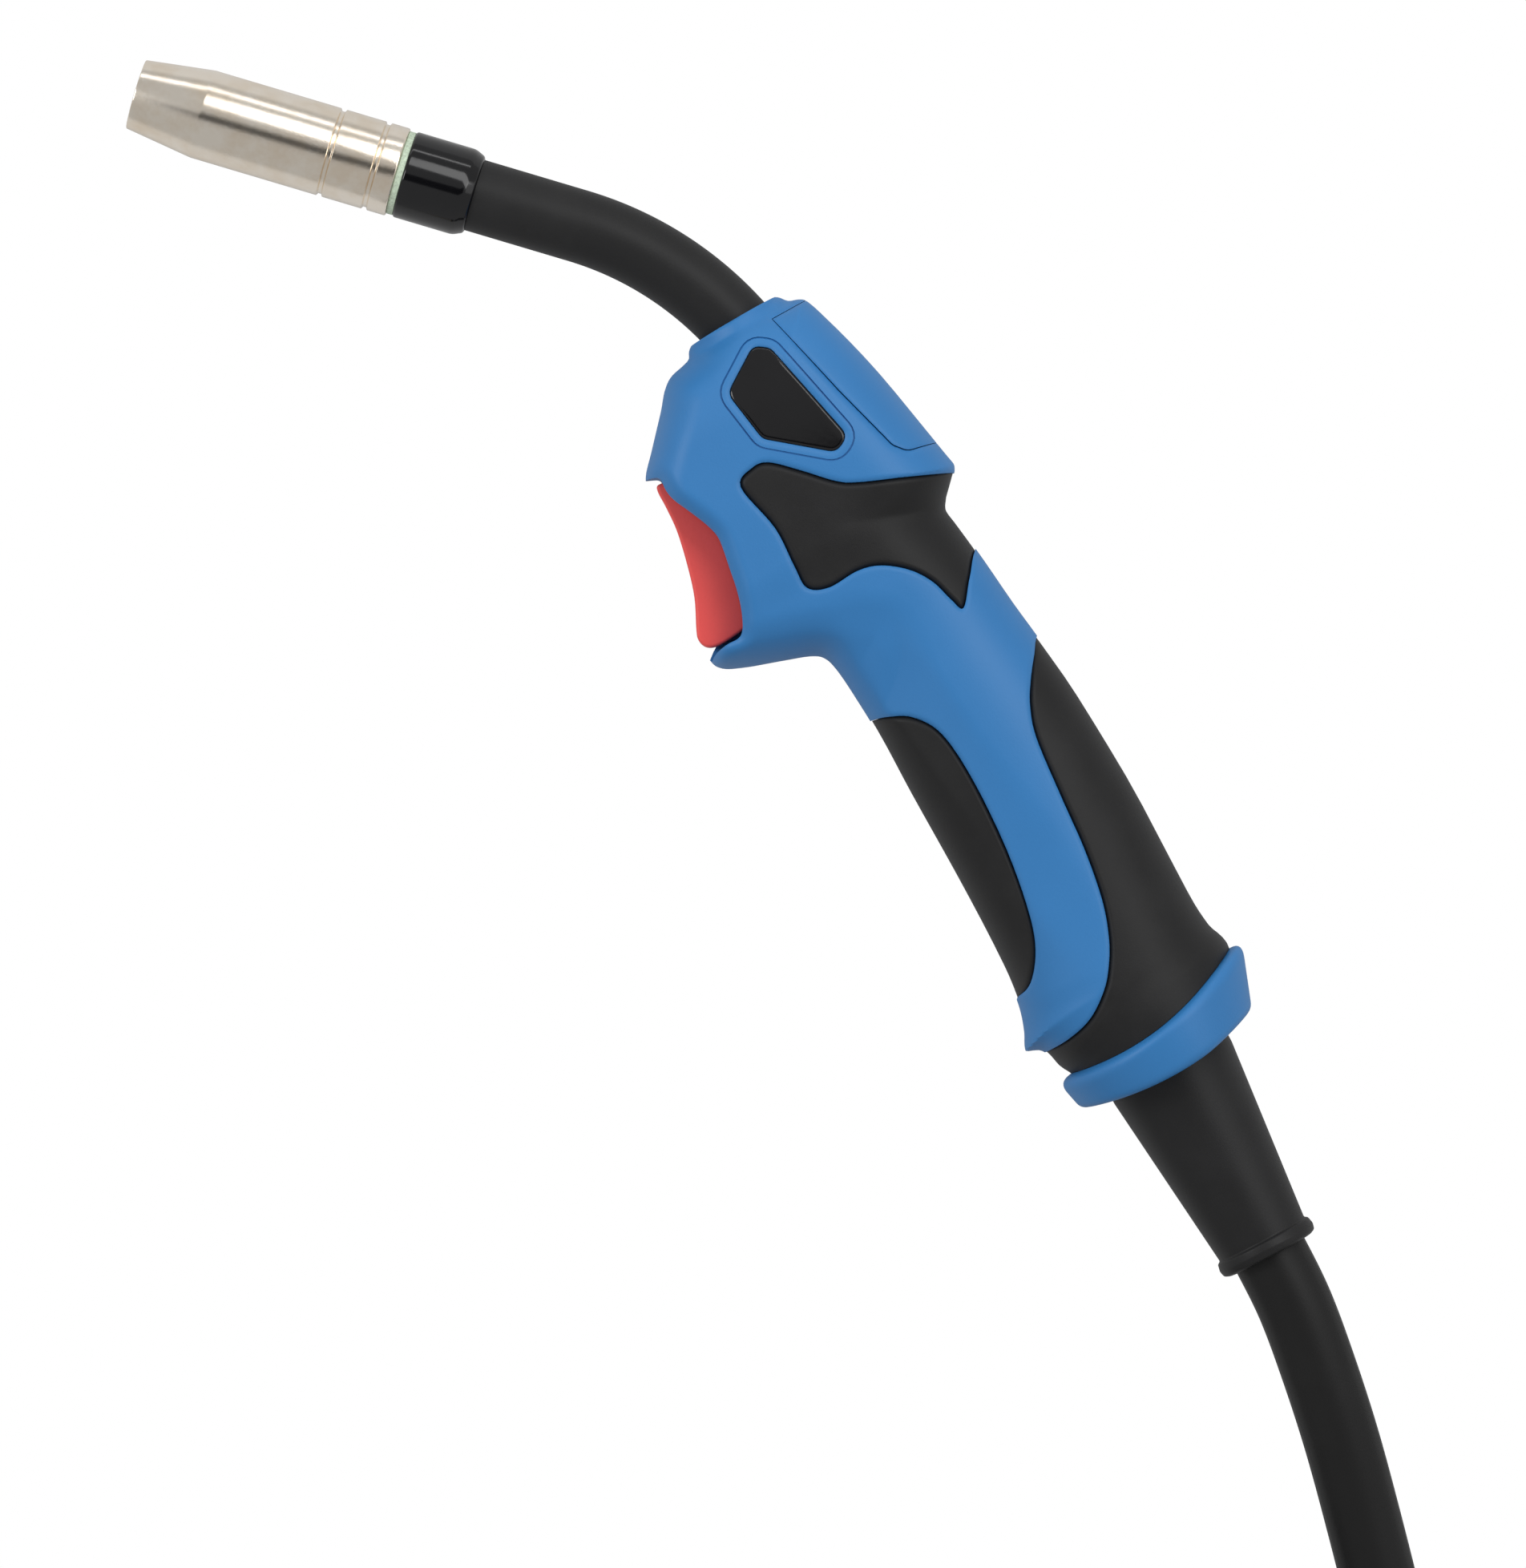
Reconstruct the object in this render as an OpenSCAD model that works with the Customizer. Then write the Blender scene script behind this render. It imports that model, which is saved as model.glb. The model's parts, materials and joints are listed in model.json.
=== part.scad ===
// Gas-shielded welding torch lying on its side, with its cable coiled for storage.
// The nozzle points along -X, the handle slopes away along +X and -Y, and Z is up.
// The trigger side of the handle is its front, and the side that lies uppermost is its left.

/* [Nozzle] */
// Length of the gas nozzle
nozzle_len = 53; // [48:0.5:60]
// Outer diameter of the nozzle body
nozzle_d = 17.6; // [17:0.1:20]
// Outer diameter at the mouth
nozzle_tip_d = 13.8; // [13:0.1:16]
// Wall of the nozzle
nozzle_wall = 0.9; // [0.7:0.05:1.1]
// Length of the tapered mouth
nozzle_taper = 13.5; // [10:0.5:18]
// Width of the two grooves round the nozzle
groove_w = 1.4; // [0.8:0.1:2]
// Depth of the two grooves
groove_depth = 0.3; // [0.2:0.05:0.5]
// Distance from the nozzle's rear end to the front groove
groove_front = 13.4; // [10:0.2:16]
// Distance from the nozzle's rear end to the rear groove
groove_rear = 4.3; // [3:0.1:6]

/* [Front end] */
// Diameter of the contact tip
tip_d = 6; // [5:0.5:7]
// Length of the contact tip
tip_len = 25; // [22:0.5:30]
// How far the contact tip stands back from the nozzle's mouth
tip_recess = 5; // [4.5:0.5:7]
// Bore for the welding wire
wire_bore = 1; // [0.8:0.2:1.6]
// Diameter of the tip holder
holder_d = 9; // [8:0.5:10]
// Length of the tip holder
holder_len = 16; // [14:0.5:20]
// Length of thread where the tip screws into its holder
tip_thread = 5; // [3:0.5:7]
// Diameter of the insulating ring behind the nozzle
ring_d = 16.6; // [15.5:0.1:17.5]
// Width of the insulating ring
ring_w = 1.3; // [1:0.1:3]
// Length of the ring's spigot, which carries the nozzle
spigot_len = 9; // [6:0.5:11]

/* [Neck] */
// Diameter of the black neck sleeve
neck_d = 14.2; // [13:0.1:16]
// Diameter of the brass tube in the neck
tube_d = 10; // [9:0.2:11]
// Bore of the brass tube
tube_bore = 5.4; // [5:0.2:6]
// Straight length of the sleeve between the ferrule and the bend
neck_straight = 21; // [15:0.5:30]
// Radius of the neck's bend
neck_bend_r = 67; // [62:1:75]
// Angle of the neck's bend
neck_angle = 43; // [40:1:46]
// Diameter of the glossy ferrule
ferrule_d = 17.2; // [16.5:0.1:18.5]
// Length of the glossy ferrule
ferrule_len = 14.2; // [12:0.2:18]

/* [Handle] */
// Length of the handle behind the bend, up to its collar
handle_len = 143; // [135:1:155]
// Length of the handle's head, from the bend to the waist behind the trigger
head_len = 53; // [52:0.5:55]
// Depth of the grip from front to back
grip_depth = 38.4; // [36.6:0.2:41]
// Thickness of the grip from side to side
grip_w = 33.8; // [32.5:0.2:36]
// Wall of the handle shells
shell_wall = 3; // [2.6:0.1:3.4]
// Depth of the recess that a rubber pad sits in
pad_depth = 1.5; // [1.2:0.1:1.8]
// How far the rubber pads lie below the shells
pad_sink = 0.3; // [0.1:0.05:0.5]
// Thickness of the cover over the back of the head
cover_t = 1.8; // [1.4:0.1:2]
// Thickness of the badge plate
badge_t = 1.2; // [0.8:0.1:1.6]

/* [Collar and boot] */
// Diameter of the rear collar
collar_d = 43.6; // [42:0.2:46]
// Width of the rear collar behind the handle's length
collar_w = 7.4; // [6:0.2:9]
// Diameter of the cable boot at the collar
boot_d = 25.8; // [24:0.2:27]
// Diameter of the cable boot at its far end
boot_end_d = 18.4; // [17:0.2:21]
// Length of the cable boot behind the collar
boot_len = 44; // [38:0.5:52]

/* [Trigger] */
// Width of the trigger
trigger_w = 12; // [10:0.5:13]
// Diameter of the trigger pin
pin_d = 3; // [2:0.2:4]
// Length of the trigger pin
pin_len = 20; // [18:0.5:22]
// Travel of the trigger
trigger_angle = 5; // [3:0.5:5]
// Length of the microswitch
switch_len = 12.8; // [11:0.2:14]
// Height of the microswitch
switch_h = 6.4; // [5.5:0.1:7]
// Thickness of the microswitch
switch_w = 5.8; // [5:0.1:6.4]
// Wire of the trigger's return spring
spring_wire = 0.6; // [0.4:0.1:0.8]

/* [Cable] */
// Diameter of the power cable
cable_d = 14.8; // [14:0.2:15.6]
// Gap between neighbouring turns of the stored coil
coil_gap = 0.8; // [0.6:0.1:1.5]
// Smallest radius of the stored coil
coil_inner_r = 60; // [58:1:70]
// Thickness of the coil's ties
tie_t = 1.2; // [0.8:0.1:2]
// Width of the coil's ties
tie_w = 20; // [12:1:25]

/* [Connector] */
// Diameter of the connector's nut
nut_d = 42; // [40:0.5:46]
// Length of the connector's nut
nut_len = 26; // [22:0.5:30]
// Diameter of the connector's housing
housing_d = 34; // [32:0.5:36]
// Length of the connector's housing
housing_len = 44; // [40:0.5:55]
// Length of the connector's cable boot
plug_boot_len = 46; // [38:0.5:60]
// Diameter of the power pin
power_pin_d = 10; // [8:0.2:12]
// Length of the power pin
power_pin_len = 22; // [18:0.5:26]

/* [Hidden] */

blue = "#4a80bc";
black = "#2b2b2d";
red = "#f0524e";
steel = "#cfc8bd";
brass = "#c9a75a";
copper = "#b87445";
$fn = 64;

// Radial play of pieces that seat in one another
fit = 0.05;
// Radial play between the neck's tube and its sleeve, which have flat sides
sleeve_fit = 0.1;
// Gap between faces that meet but belong to moving pieces
face_gap = 0.05;
// Play round pieces in the moulded shells, whose holes have flat sides
mould_gap = 0.15;
// Gap at the edge of the pads, the cover and the badge
seam = 0.12;
// Thickness that cutting shapes reach past what they cut
past = 60;

// Places along the nozzle's axis, from its mouth
spigot_x = nozzle_len - spigot_len;
ferrule_x = nozzle_len + face_gap + ring_w;
bend_x = ferrule_x + ferrule_len + neck_straight;
holder_x = tip_recess + tip_len - tip_thread;
tube_x = holder_x + holder_len - tip_thread;
sleeve_x = ferrule_x + 3;
nozzle_bore_r = nozzle_d / 2 - nozzle_wall;

// End of the neck's bend, where the handle's own axes start
handle_x = bend_x + neck_bend_r * sin(neck_angle);
handle_y = -neck_bend_r * (1 - cos(neck_angle));

// The handle is drawn with this head, length, depth and thickness, and stretched to the sizes set above
drawn = [53, 143, 38.4, 33.8];
deep = grip_depth / drawn[2];
wide = grip_w / drawn[3];
function along(s) =
    s < drawn[0]
        ? s * (head_len / drawn[0])
        : head_len + (s - drawn[0]) * (handle_len - head_len) / (drawn[1] - drawn[0]);
function place(p) = [along(p[0]), p[1] * deep];

// How far the neck's axis lies in front of the handle's axis, ahead of the bend's end
function neck_t(s) = sqrt(neck_bend_r * neck_bend_r - s * s) - neck_bend_r;

// Front lip of the handle, round the neck
lip_wall = 3.1;
lip_r = neck_d / 2 + lip_wall;
mouth_s = -14.5;
// Round rear end of the handle, inside the collar's edge
collar_step = 2.1;
end_r = collar_d / 2 - collar_step;

// Sections of the handle: place, front edge, back edge, half thickness, squareness
sections = concat(
    [
        [mouth_s, neck_t(mouth_s) - lip_r, neck_t(mouth_s) + lip_r, lip_r, 2],
        [mouth_s + 1, neck_t(mouth_s) - lip_r - 0.4, neck_t(mouth_s) + lip_r + 0.4, lip_r + 0.4, 2]
    ],
    [
        for (r = [
            [-12.2, -13.1, 9.8, 11.0, 2],
            [-11.6, -16.6, 12.0, 11.8, 2.2],
            [-10.4, -18.8, 12.9, 12.8, 2.4],
            [-6.5, -22.4, 14.2, 14.8, 2.8],
            [3.2, -31.5, 16.7, 16.8, 3.1],
            [4.1, -31.2, 16.9, 16.9, 3.1],
            [4.7, -29.3, 17.1, 16.9, 3.1],
            [9.5, -29, 18, 17.1, 3.1],
            [13.6, -27.5, 18.7, 17.2, 3.1],
            [21.3, -25.2, 19.9, 17.4, 3.1],
            [29.1, -26.6, 21.1, 17.4, 3],
            [31, -27.2, 21.6, 17.4, 3],
            [33, -28, 20.2, 17.2, 2.9],
            [38, -30.5, 15.8, 16.6, 2.8],
            [38.9, -31.3, 15.9, 16.5, 2.8],
            [39.4, -37.6, 16, 16.5, 2.8],
            [41.2, -38.5, 16.1, 16.4, 2.8],
            [42.8, -37, 16.3, 16.3, 2.7],
            [44.4, -33.8, 16.5, 16.2, 2.7],
            [50, -19.7, 17, 16, 2.5],
            [53, -18.6, 17.2, 15.9, 2.4],
            [60, -18, 17.7, 15.9, 2.3],
            [68, -17.8, 18.5, 16.1, 2.3],
            [82, -18.3, 19.6, 16.5, 2.3],
            [100, -18.7, 19.9, 17, 2.3],
            [120, -19.7, 19.1, 17.9, 2.2],
            [128, -20.9, 18.8, 18.4, 2.2],
            [133, -22.6, 19.1, 18.9, 2.1],
            [136.4, -24.4, 20.2, 19.2, 2.1],
            [137.2, -22.2, 20.4, 19.3, 2.1]
        ]) [along(r[0]), r[1] * deep, r[2] * deep, r[3] * wide, r[4]]
    ],
    [
        [handle_len - 1, -end_r - 0.6, end_r, end_r, 2],
        [handle_len + 3, -end_r + 1, end_r, end_r, 2],
        [handle_len + 9, -end_r + 1, end_r, end_r, 2]
    ]
);
section_sides = 24;
// The hollow stops at this front edge, so that the visor and the hook stay solid
hollow_front = -22 * deep;
hollow_first = 5;

// Outlines of the pads, the cover and the badge, seen from the side
thumb_outline = [
    [14.33, -16.74], [12.23, -13.04], [12.93, -9.64], [17.43, -5.04], [22.43, -0.44], [24.83, 3.06],
    [28.53, 11.36], [32.63, 20.66], [35.63, 28.16], [44.03, 28.16], [46.73, 17.76], [51.63, 12.66],
    [56.13, 8.56], [53.33, 7.26], [48.73, 5.96], [44.53, 3.26], [41.03, -1.04], [39.63, -5.54],
    [39.63, -11.84], [37.53, -15.54], [32.63, -15.54], [24.43, -15.04]
];
finger_outline = [
    [64.11, -26.85], [65.71, -18.35], [66.91, -14.35], [69.51, -10.25], [74.91, -7.25],
    [84.91, -6.55], [98.91, -7.55], [110.91, -9.65], [118.91, -12.15], [124.51, -16.05],
    [126.31, -19.85], [126.11, -26.85]
];
palm_outline = [
    [65.77, 27.17], [67.47, 19.17], [70.77, 15.87], [74.87, 12.57], [78.87, 10.07], [84.87, 7.97],
    [96.87, 6.37], [108.07, 5.07], [118.07, 3.07], [124.87, 0.57], [129.47, -2.13], [133.27, -5.43],
    [136.67, -10.43], [138.07, -15.83], [138.37, -21.83], [138.67, -29.83], [162.07, -33.83],
    [162.07, 27.17]
];
cover_outline = [
    [-10.9, 5], [7.9, 9], [22.1, 12.6], [24.3, 13.9], [26.4, 18.1], [27.2, 27], [-10.9, 27]
];
badge_outline = [
    [-8.2, -0.8], [-6, 1.9], [16.2, 6.2], [17.9, 2.6], [8.4, -8.4], [-2.6, -9.8]
];
badge_corner_r = 2;

// The collar's edges lean and arch, it tapers towards the cable, and its back slopes more steeply
collar_lean = 8;
front_arch = 3.9;
rear_arch = 3.5;
collar_taper = 0.19;
collar_front_s = handle_len - 2;
collar_rear_s = handle_len + collar_w;
collar_lip = 1.4;
back_slope = 24;
back_place = [collar_front_s + 0.3, collar_d / 2 + 0.5];
back_r = collar_d / 2 + 2.2;
collar_spigot_len = 6;

// The boot and the cable lean a little from the handle's axis
boot_t = -1.5;
boot_lean = 2.3;
boot_bead = 3.2;
boot_flange_w = 3.5;
boot_in_len = collar_w + collar_spigot_len + boot_flange_w + 0.8;
boot_end_s = collar_rear_s + boot_len * cos(boot_lean);
boot_end_t = boot_t - boot_len * sin(boot_lean);
boot_angle = neck_angle + boot_lean;
cable_bore_r = cable_d / 2 + 0.1;
boot_outline = [
    [cable_bore_r, -boot_in_len],
    [boot_d / 2 + 1.6, -boot_in_len],
    [boot_d / 2 + 1.6, -boot_in_len + boot_flange_w],
    [boot_d / 2, -boot_in_len + boot_flange_w],
    [boot_d / 2, 4],
    [boot_end_d / 2, boot_len - boot_bead],
    for (a = [-75 : 30 : 75])
        [boot_end_d / 2 + 1.1 * cos(a), boot_len - boot_bead / 2 + boot_bead / 2 * sin(a)],
    [boot_end_d / 2 - 0.4, boot_len],
    [cable_bore_r, boot_len]
];

// A place on the handle, in plan
function handle_point(s, t) = [
    handle_x + s * cos(neck_angle) + t * sin(neck_angle),
    handle_y - s * sin(neck_angle) + t * cos(neck_angle)
];
boot_base = handle_point(collar_rear_s, boot_t);
boot_end = handle_point(boot_end_s, boot_end_t);

// The torch's box in plan, which puts the origin under its middle
high_x = max([for (p = boot_outline) boot_base[0] + p[1] * cos(boot_angle) + p[0] * sin(boot_angle)]);
low_y = min([for (p = boot_outline) boot_base[1] - p[1] * sin(boot_angle) - p[0] * cos(boot_angle)]);
high_y = nozzle_d / 2;
middle = [high_x / 2, (low_y + high_y) / 2];
// The torch lies on its collar
axis_z = collar_d / 2;

// Trigger, pivoting on a pin near its top
pin_place = place([7.5, -25.8]);
trigger_play = 0.6;
trigger_outline = [
    [5.6, -29], [6, -30.7], [10, -31], [15, -31.5], [21.7, -33.1], [27.9, -35.1], [33.4, -37.9],
    [35.4, -38.6], [37.2, -38.1], [38.2, -36.4], [38.4, -33], [37.8, -27.2], [35.4, -24.4], [27.8, -24.4],
    [24.4, -22.6], [14.2, -22.6], [9.7, -22.9]
];
trigger_back = -22.6 * deep;
trigger_seat = -24.4 * deep;
trigger_head_r = 2.9;

// Microswitch behind the trigger
plunger_s = along(20.5);
plunger_w = 2.6;
plunger_gap = 0.15;
plunger_out = 1.6;
plunger_play = 0.1;
switch_t = trigger_back + plunger_gap + plunger_out;
switch_s = plunger_s - switch_len / 2;
switch_hole_d = 2.2;
switch_hole_gap = 9.4;
shelf_t = switch_t + switch_h;
shelf_w = 2;
shelf_s = [switch_s - 1, along(38)];

// Return spring between the trigger and the shelf
spring_s = along(31.5);
spring_d = 5;
spring_turns = 6;
spring_gap = 0.3;
spring_from = trigger_seat + spring_gap;
spring_to = shelf_t - spring_gap;

// Brass fittings on the handle's axis
nut_s = 26;
nut_flats = 15;
nut_w = 14;
crimp_d = 14;
crimp_s = nut_s + nut_w;
crimp_len = 24;
tube_end_s = crimp_s - 4;
sleeve_end_s = 8;
web_w = 3;
nut_web_s = nut_s + 4;
crimp_web_s = crimp_s + 12;

// Screws that hold the shells together, put in from the right side
screw_d = 2.8;
screw_head_d = 5.6;
screw_head_h = 2;
screw_sink = 5.2;
boss_d = 9;
screw_top = 6;
rear_boss_gap = 1.2;
screw_places = concat(
    [for (p = [[0, -15], [34.5, 13.2], [60.5, 12.2]]) place(p)],
    [[collar_rear_s - boot_in_len - rear_boss_gap - boss_d / 2, -13.6 * deep]]
);

// Coil: spirals in on the floor, climbs a layer, and spirals out again
coil_step = cable_d + coil_gap;
coil_turns = 5 + 152 / 360;
coil_start = 32;
coil_steps = 24;
coil_clear = 0.3;
coil_z = tie_t + coil_clear + cable_d / 2;
// Rate at which the spiral's corner is rounded where it turns back
coil_round = 30;
coil_offset = [0, -188];
coil_middle = boot_end - middle + coil_offset;
coil_half = coil_turns * 180;
coil_outer_r = coil_inner_r + coil_step * coil_half / 360;
function ease(u) = let (v = min(1, max(0, u))) v * v * (3 - 2 * v);
function coil_r(a) =
    coil_inner_r + coil_step * (sqrt(pow(a - coil_half, 2) + pow(coil_round, 2)) - coil_round) / 360;
function coil_point(a) = [
    coil_middle[0] + coil_r(a) * cos(coil_start - a),
    coil_middle[1] + coil_r(a) * sin(coil_start - a),
    coil_z + coil_step * ease((a - coil_half + 90) / 180)
];
// Radii of the turns that cross one direction
function coil_turns_at(direction) = [
    for (a = [(coil_start - direction + 720) % 360 : 360 : 2 * coil_half]) coil_r(a)
];
function unit(v) = v / norm(v);
coil_last = 2 * coil_half;
coil_turn = [
    for (i = [0 : ceil(coil_turns * coil_steps)]) coil_point(min(coil_last, i * 360 / coil_steps))
];
coil_in = unit(coil_point(0) - coil_point(0.5));
coil_out = unit(coil_point(coil_last) - coil_point(coil_last - 0.5));
coil_path = concat(
    [coil_point(0) + coil_in * cable_d],
    coil_turn,
    [coil_point(coil_last) + coil_out * cable_d]
);
// Least gap between turns, from every pair of points more than half a turn apart
coil_least = min([
    for (i = [0 : len(coil_turn) - 1]) for (j = [i + coil_steps / 2 : 1 : len(coil_turn) - 1])
        norm(coil_turn[i] - coil_turn[j])
]) - cable_d;
echo(least_gap_in_coil = coil_least);

// Route of the cable from the boot to the coil: steps from the boot's end, and share of the boot's height
cable_route = [
    [7, -7.5, 0.97], [15, -18, 0.88], [24, -31, 0.7], [34, -47, 0.45], [46, -67, 0.2], [60, -90, 0.03]
];
cable_in = [
    for (p = [[crimp_s + crimp_len, 0], [along(90), 0], [along(115), -0.4]])
        concat(handle_point(p[0], p[1]) - middle, axis_z)
];
cable_boot_in_s = collar_rear_s - boot_in_len * cos(boot_lean);
cable_boot_in_t = boot_t + boot_in_len * sin(boot_lean);
cable_boot_in = concat(handle_point(cable_boot_in_s, cable_boot_in_t) - middle, axis_z);
cable_path = concat(
    cable_in,
    [cable_boot_in, concat(boot_end - middle, axis_z)],
    [
        for (p = cable_route)
            concat(boot_end - middle + [p[0], p[1]], coil_z + (axis_z - coil_z) * p[2])
    ],
    [coil_path[0] + coil_in * 3, coil_path[0]]
);

// Connector at the end of the tail, lying on its nut
tail_len = 46;
tail_angle = atan2(coil_out[1], coil_out[0]);
tail_start = coil_path[len(coil_path) - 1];
plug_z = nut_d / 2;
plug_place = [
    tail_start[0] + tail_len * cos(tail_angle),
    tail_start[1] + tail_len * sin(tail_angle),
    plug_z
];
cable_end_z = plug_boot_len + 14;
housing_end = plug_boot_len + housing_len;
nut_from = housing_end + 0.4;
nut_shoulder = 5;
core_neck_d = 22;
core_play = 0.07;
flange_d = 31;
flange_w = 6;
nose_d = 26;
nose_len = 10;
flange_from = nut_from + nut_shoulder + 0.3;
nose_end = flange_from + flange_w + nose_len;
pin_end = nose_end + power_pin_len;
control_d = 3;
control_out = 8;
control_in = 8;
control_r = 9;
liner_nut_w = 5;
plug_dir = [cos(tail_angle), sin(tail_angle), 0];
tail_path = [
    for (u = [0, 0.05, 0.25, 0.5, 0.75, 1])
        [
            tail_start[0] + (plug_place[0] - tail_start[0]) * u,
            tail_start[1] + (plug_place[1] - tail_start[1]) * u,
            tail_start[2] + (plug_z - tail_start[2]) * ease(u)
        ],
    plug_place + plug_dir * cable_end_z
];

// Moves a piece from the nozzle's axes to the part's own axes
module torch() translate([-middle[0], -middle[1], axis_z]) children();
// Moves a piece from the handle's axes to the part's own axes
module on_handle() torch() translate([handle_x, handle_y, 0]) rotate(-neck_angle) children();
// Turns a profile round the nozzle's axis
module turned(outline) rotate([0, 90, 0]) rotate_extrude() polygon(outline);
// Moves a turned piece to the boot's axis
module on_boot()
    on_handle() translate([collar_rear_s, boot_t, 0]) rotate(-boot_lean) rotate([0, 90, 0]) children();
// Moves a turned piece to the connector's axis
module on_plug() translate(plug_place) rotate(tail_angle) rotate([0, 90, 0]) children();

// A solid that joins rings of equal counts of points, capped or joined end to end
module skin(rings, joined = false) {
    n = len(rings[0]);
    all = len(rings) * n;
    polyhedron(
        points = [for (r = rings) each r],
        faces = concat(
            joined ? [] : [[for (k = [0 : n - 1]) k]],
            [
                for (i = [0 : len(rings) - (joined ? 1 : 2)]) for (k = [0 : n - 1])
                    let (a = i * n + k, b = i * n + (k + 1) % n)
                    each [[a, (a + n) % all, b], [b, (a + n) % all, (b + n) % all]]
            ],
            joined ? [] : [[for (k = [n - 1 : -1 : 0]) all - n + k]]
        )
    );
}

// A round tube along a path that never runs straight up
function tube_rings(path, d, sides) = [
    for (i = [0 : len(path) - 1])
        let (
            before = path[max(0, i - 1)],
            after = path[min(len(path) - 1, i + 1)],
            run = unit(after - before),
            across = unit(cross([0, 0, 1], run)),
            up = cross(run, across)
        )
        [
            for (k = [0 : sides - 1])
                path[i] + d / 2 * (across * cos(360 * k / sides + 90) + up * sin(360 * k / sides + 90))
        ]
];
module tube(path, d, sides) skin(tube_rings(path, d, sides));

// A closed outline drawn smoothly through its points
function bent(a, b, c, d, u) =
    0.5 * (2 * b + (c - a) * u + (2 * a - 5 * b + 4 * c - d) * u * u + (3 * b - a - 3 * c + d) * u * u * u);
function smooth(p, steps = 3) = let (n = len(p)) [
    for (i = [0 : n - 1]) for (k = [0 : steps - 1])
        bent(p[(i + n - 1) % n], p[i], p[(i + 1) % n], p[(i + 2) % n], k / steps)
];

// One section of the handle, grown or shrunk all round
function signed_power(v, e) = sign(v) * pow(abs(v), e);
function section(r, grow, front) =
    let (
        edge = r[1] - grow,
        low = is_undef(front) ? edge : max(edge, front),
        high = r[2] + grow,
        half = r[3] + grow
    )
    [
        for (k = [0 : section_sides - 1])
            let (a = 360 * k / section_sides)
            [
                r[0],
                (low + high) / 2 + (high - low) / 2 * signed_power(cos(a), 2 / r[4]),
                half * signed_power(sin(a), 2 / r[4])
            ]
    ];
// The handle's form, lofted bay by bay between its sections
module handle_form(grow, first = 0, front = undef)
    for (i = [first : len(sections) - 2])
        hull() skin([section(sections[i], grow, front), section(sections[i + 1], grow, front)]);

// A prism through one half of the handle, which can reach into the other half
module side_prism(side, gap = 0, reach = 0)
    translate([0, 0, side > 0 ? -reach : -past]) linear_extrude(past + reach)
        offset(delta = -gap) children();
// The outlines that the prisms take
module pad_shape(outline) polygon([for (p = smooth(outline)) place(p)]);
module cover_shape() polygon([for (p = cover_outline) place(p)]);
module badge_shape()
    offset(r = badge_corner_r, $fn = 20) offset(delta = -badge_corner_r)
        polygon([for (p = badge_outline) place(p)]);

// Everything behind an arched surface across the handle
module behind(s, lean, arch)
    translate([s, 0, 0]) rotate(lean) rotate([90, 0, 0]) linear_extrude(2 * past, center = true)
        polygon(concat(
            [for (z = [-27 : 3 : 27]) [arch * pow(2 * z / collar_d, 2), z]],
            [[past, 27], [past, -27]]
        ));

// The neck's line, from one place on the nozzle's axis to one on the handle's axis
bend_steps = 8;
function neck_line(from_x, to_s) = concat(
    [[from_x, 0, 0]],
    [
        for (i = [0 : bend_steps]) let (a = neck_angle * i / bend_steps)
            [bend_x + neck_bend_r * sin(a), -neck_bend_r * (1 - cos(a)), 0]
    ],
    [concat(handle_point(to_s, 0), 0)]
);
module neck_pipe(d, bore, from_x, to_s, sides) {
    line = neck_line(from_x, to_s);
    outer = tube_rings(line, d, sides);
    inner = tube_rings(line, bore, sides);
    skin(concat(outer, [for (i = [len(line) - 1 : -1 : 0]) inner[i]]), true);
}

// Front end
module gas_nozzle() {
    r = nozzle_d / 2;
    tip_r = nozzle_tip_d / 2;
    edge = 0.3;
    function groove(back) = let (x = nozzle_len - back) [
        [r, x - groove_w / 2], [r - groove_depth, x - groove_w / 5],
        [r - groove_depth, x + groove_w / 5], [r, x + groove_w / 2]
    ];
    color(steel) torch() turned(concat(
        [[tip_r - nozzle_wall, 0], [tip_r - edge, 0], [tip_r, edge], [r, nozzle_taper]],
        groove(groove_front),
        groove(groove_rear),
        [[r, nozzle_len - edge], [r - edge, nozzle_len], [nozzle_bore_r, nozzle_len]],
        [[nozzle_bore_r, nozzle_taper]]
    ));
}

module contact_tip() {
    bevel = 1.2;
    shank_r = tip_d / 2 - 0.6;
    color(copper) torch() turned([
        [wire_bore / 2, tip_recess], [tip_d / 2 - bevel, tip_recess], [tip_d / 2, tip_recess + bevel],
        [tip_d / 2, holder_x], [shank_r, holder_x], [shank_r, holder_x + tip_thread],
        [wire_bore / 2, holder_x + tip_thread]
    ]);
}

module tip_holder() {
    shank_r = tip_d / 2 - 0.6 + fit;
    gas_hole_d = 1.8;
    gas_hole_x = holder_x + tip_thread + 3;
    end_x = holder_x + holder_len;
    color(brass) torch() difference() {
        turned([
            [shank_r, holder_x], [holder_d / 2 - 0.5, holder_x], [holder_d / 2, holder_x + 0.5],
            [holder_d / 2, tube_x], [tube_bore / 2 - fit, tube_x], [tube_bore / 2 - fit, end_x],
            [wire_bore, end_x], [wire_bore, holder_x + tip_thread], [shank_r, holder_x + tip_thread]
        ]);
        for (a = [0, 90]) translate([gas_hole_x, 0, 0]) rotate([a, 0, 0])
            cylinder(d = gas_hole_d, h = past, center = true);
    }
}

// Wire wound round the holder, which grips the nozzle
module nozzle_spring() {
    wire = 1.2;
    turns = 3;
    rings = 8;
    wound_d = 2 * nozzle_bore_r - wire - 0.8;
    length = spigot_x - wire - 1 - (tube_x + 1);
    path = [
        for (i = [0 : turns * rings])
            [
                wound_d / 2 * cos(i * 360 / rings),
                wound_d / 2 * sin(i * 360 / rings),
                length * i / (turns * rings)
            ]
    ];
    color(steel) torch() translate([tube_x + 1 + wire / 2, 0, 0]) rotate([0, 90, 0]) tube(path, wire, 6);
}

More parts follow.
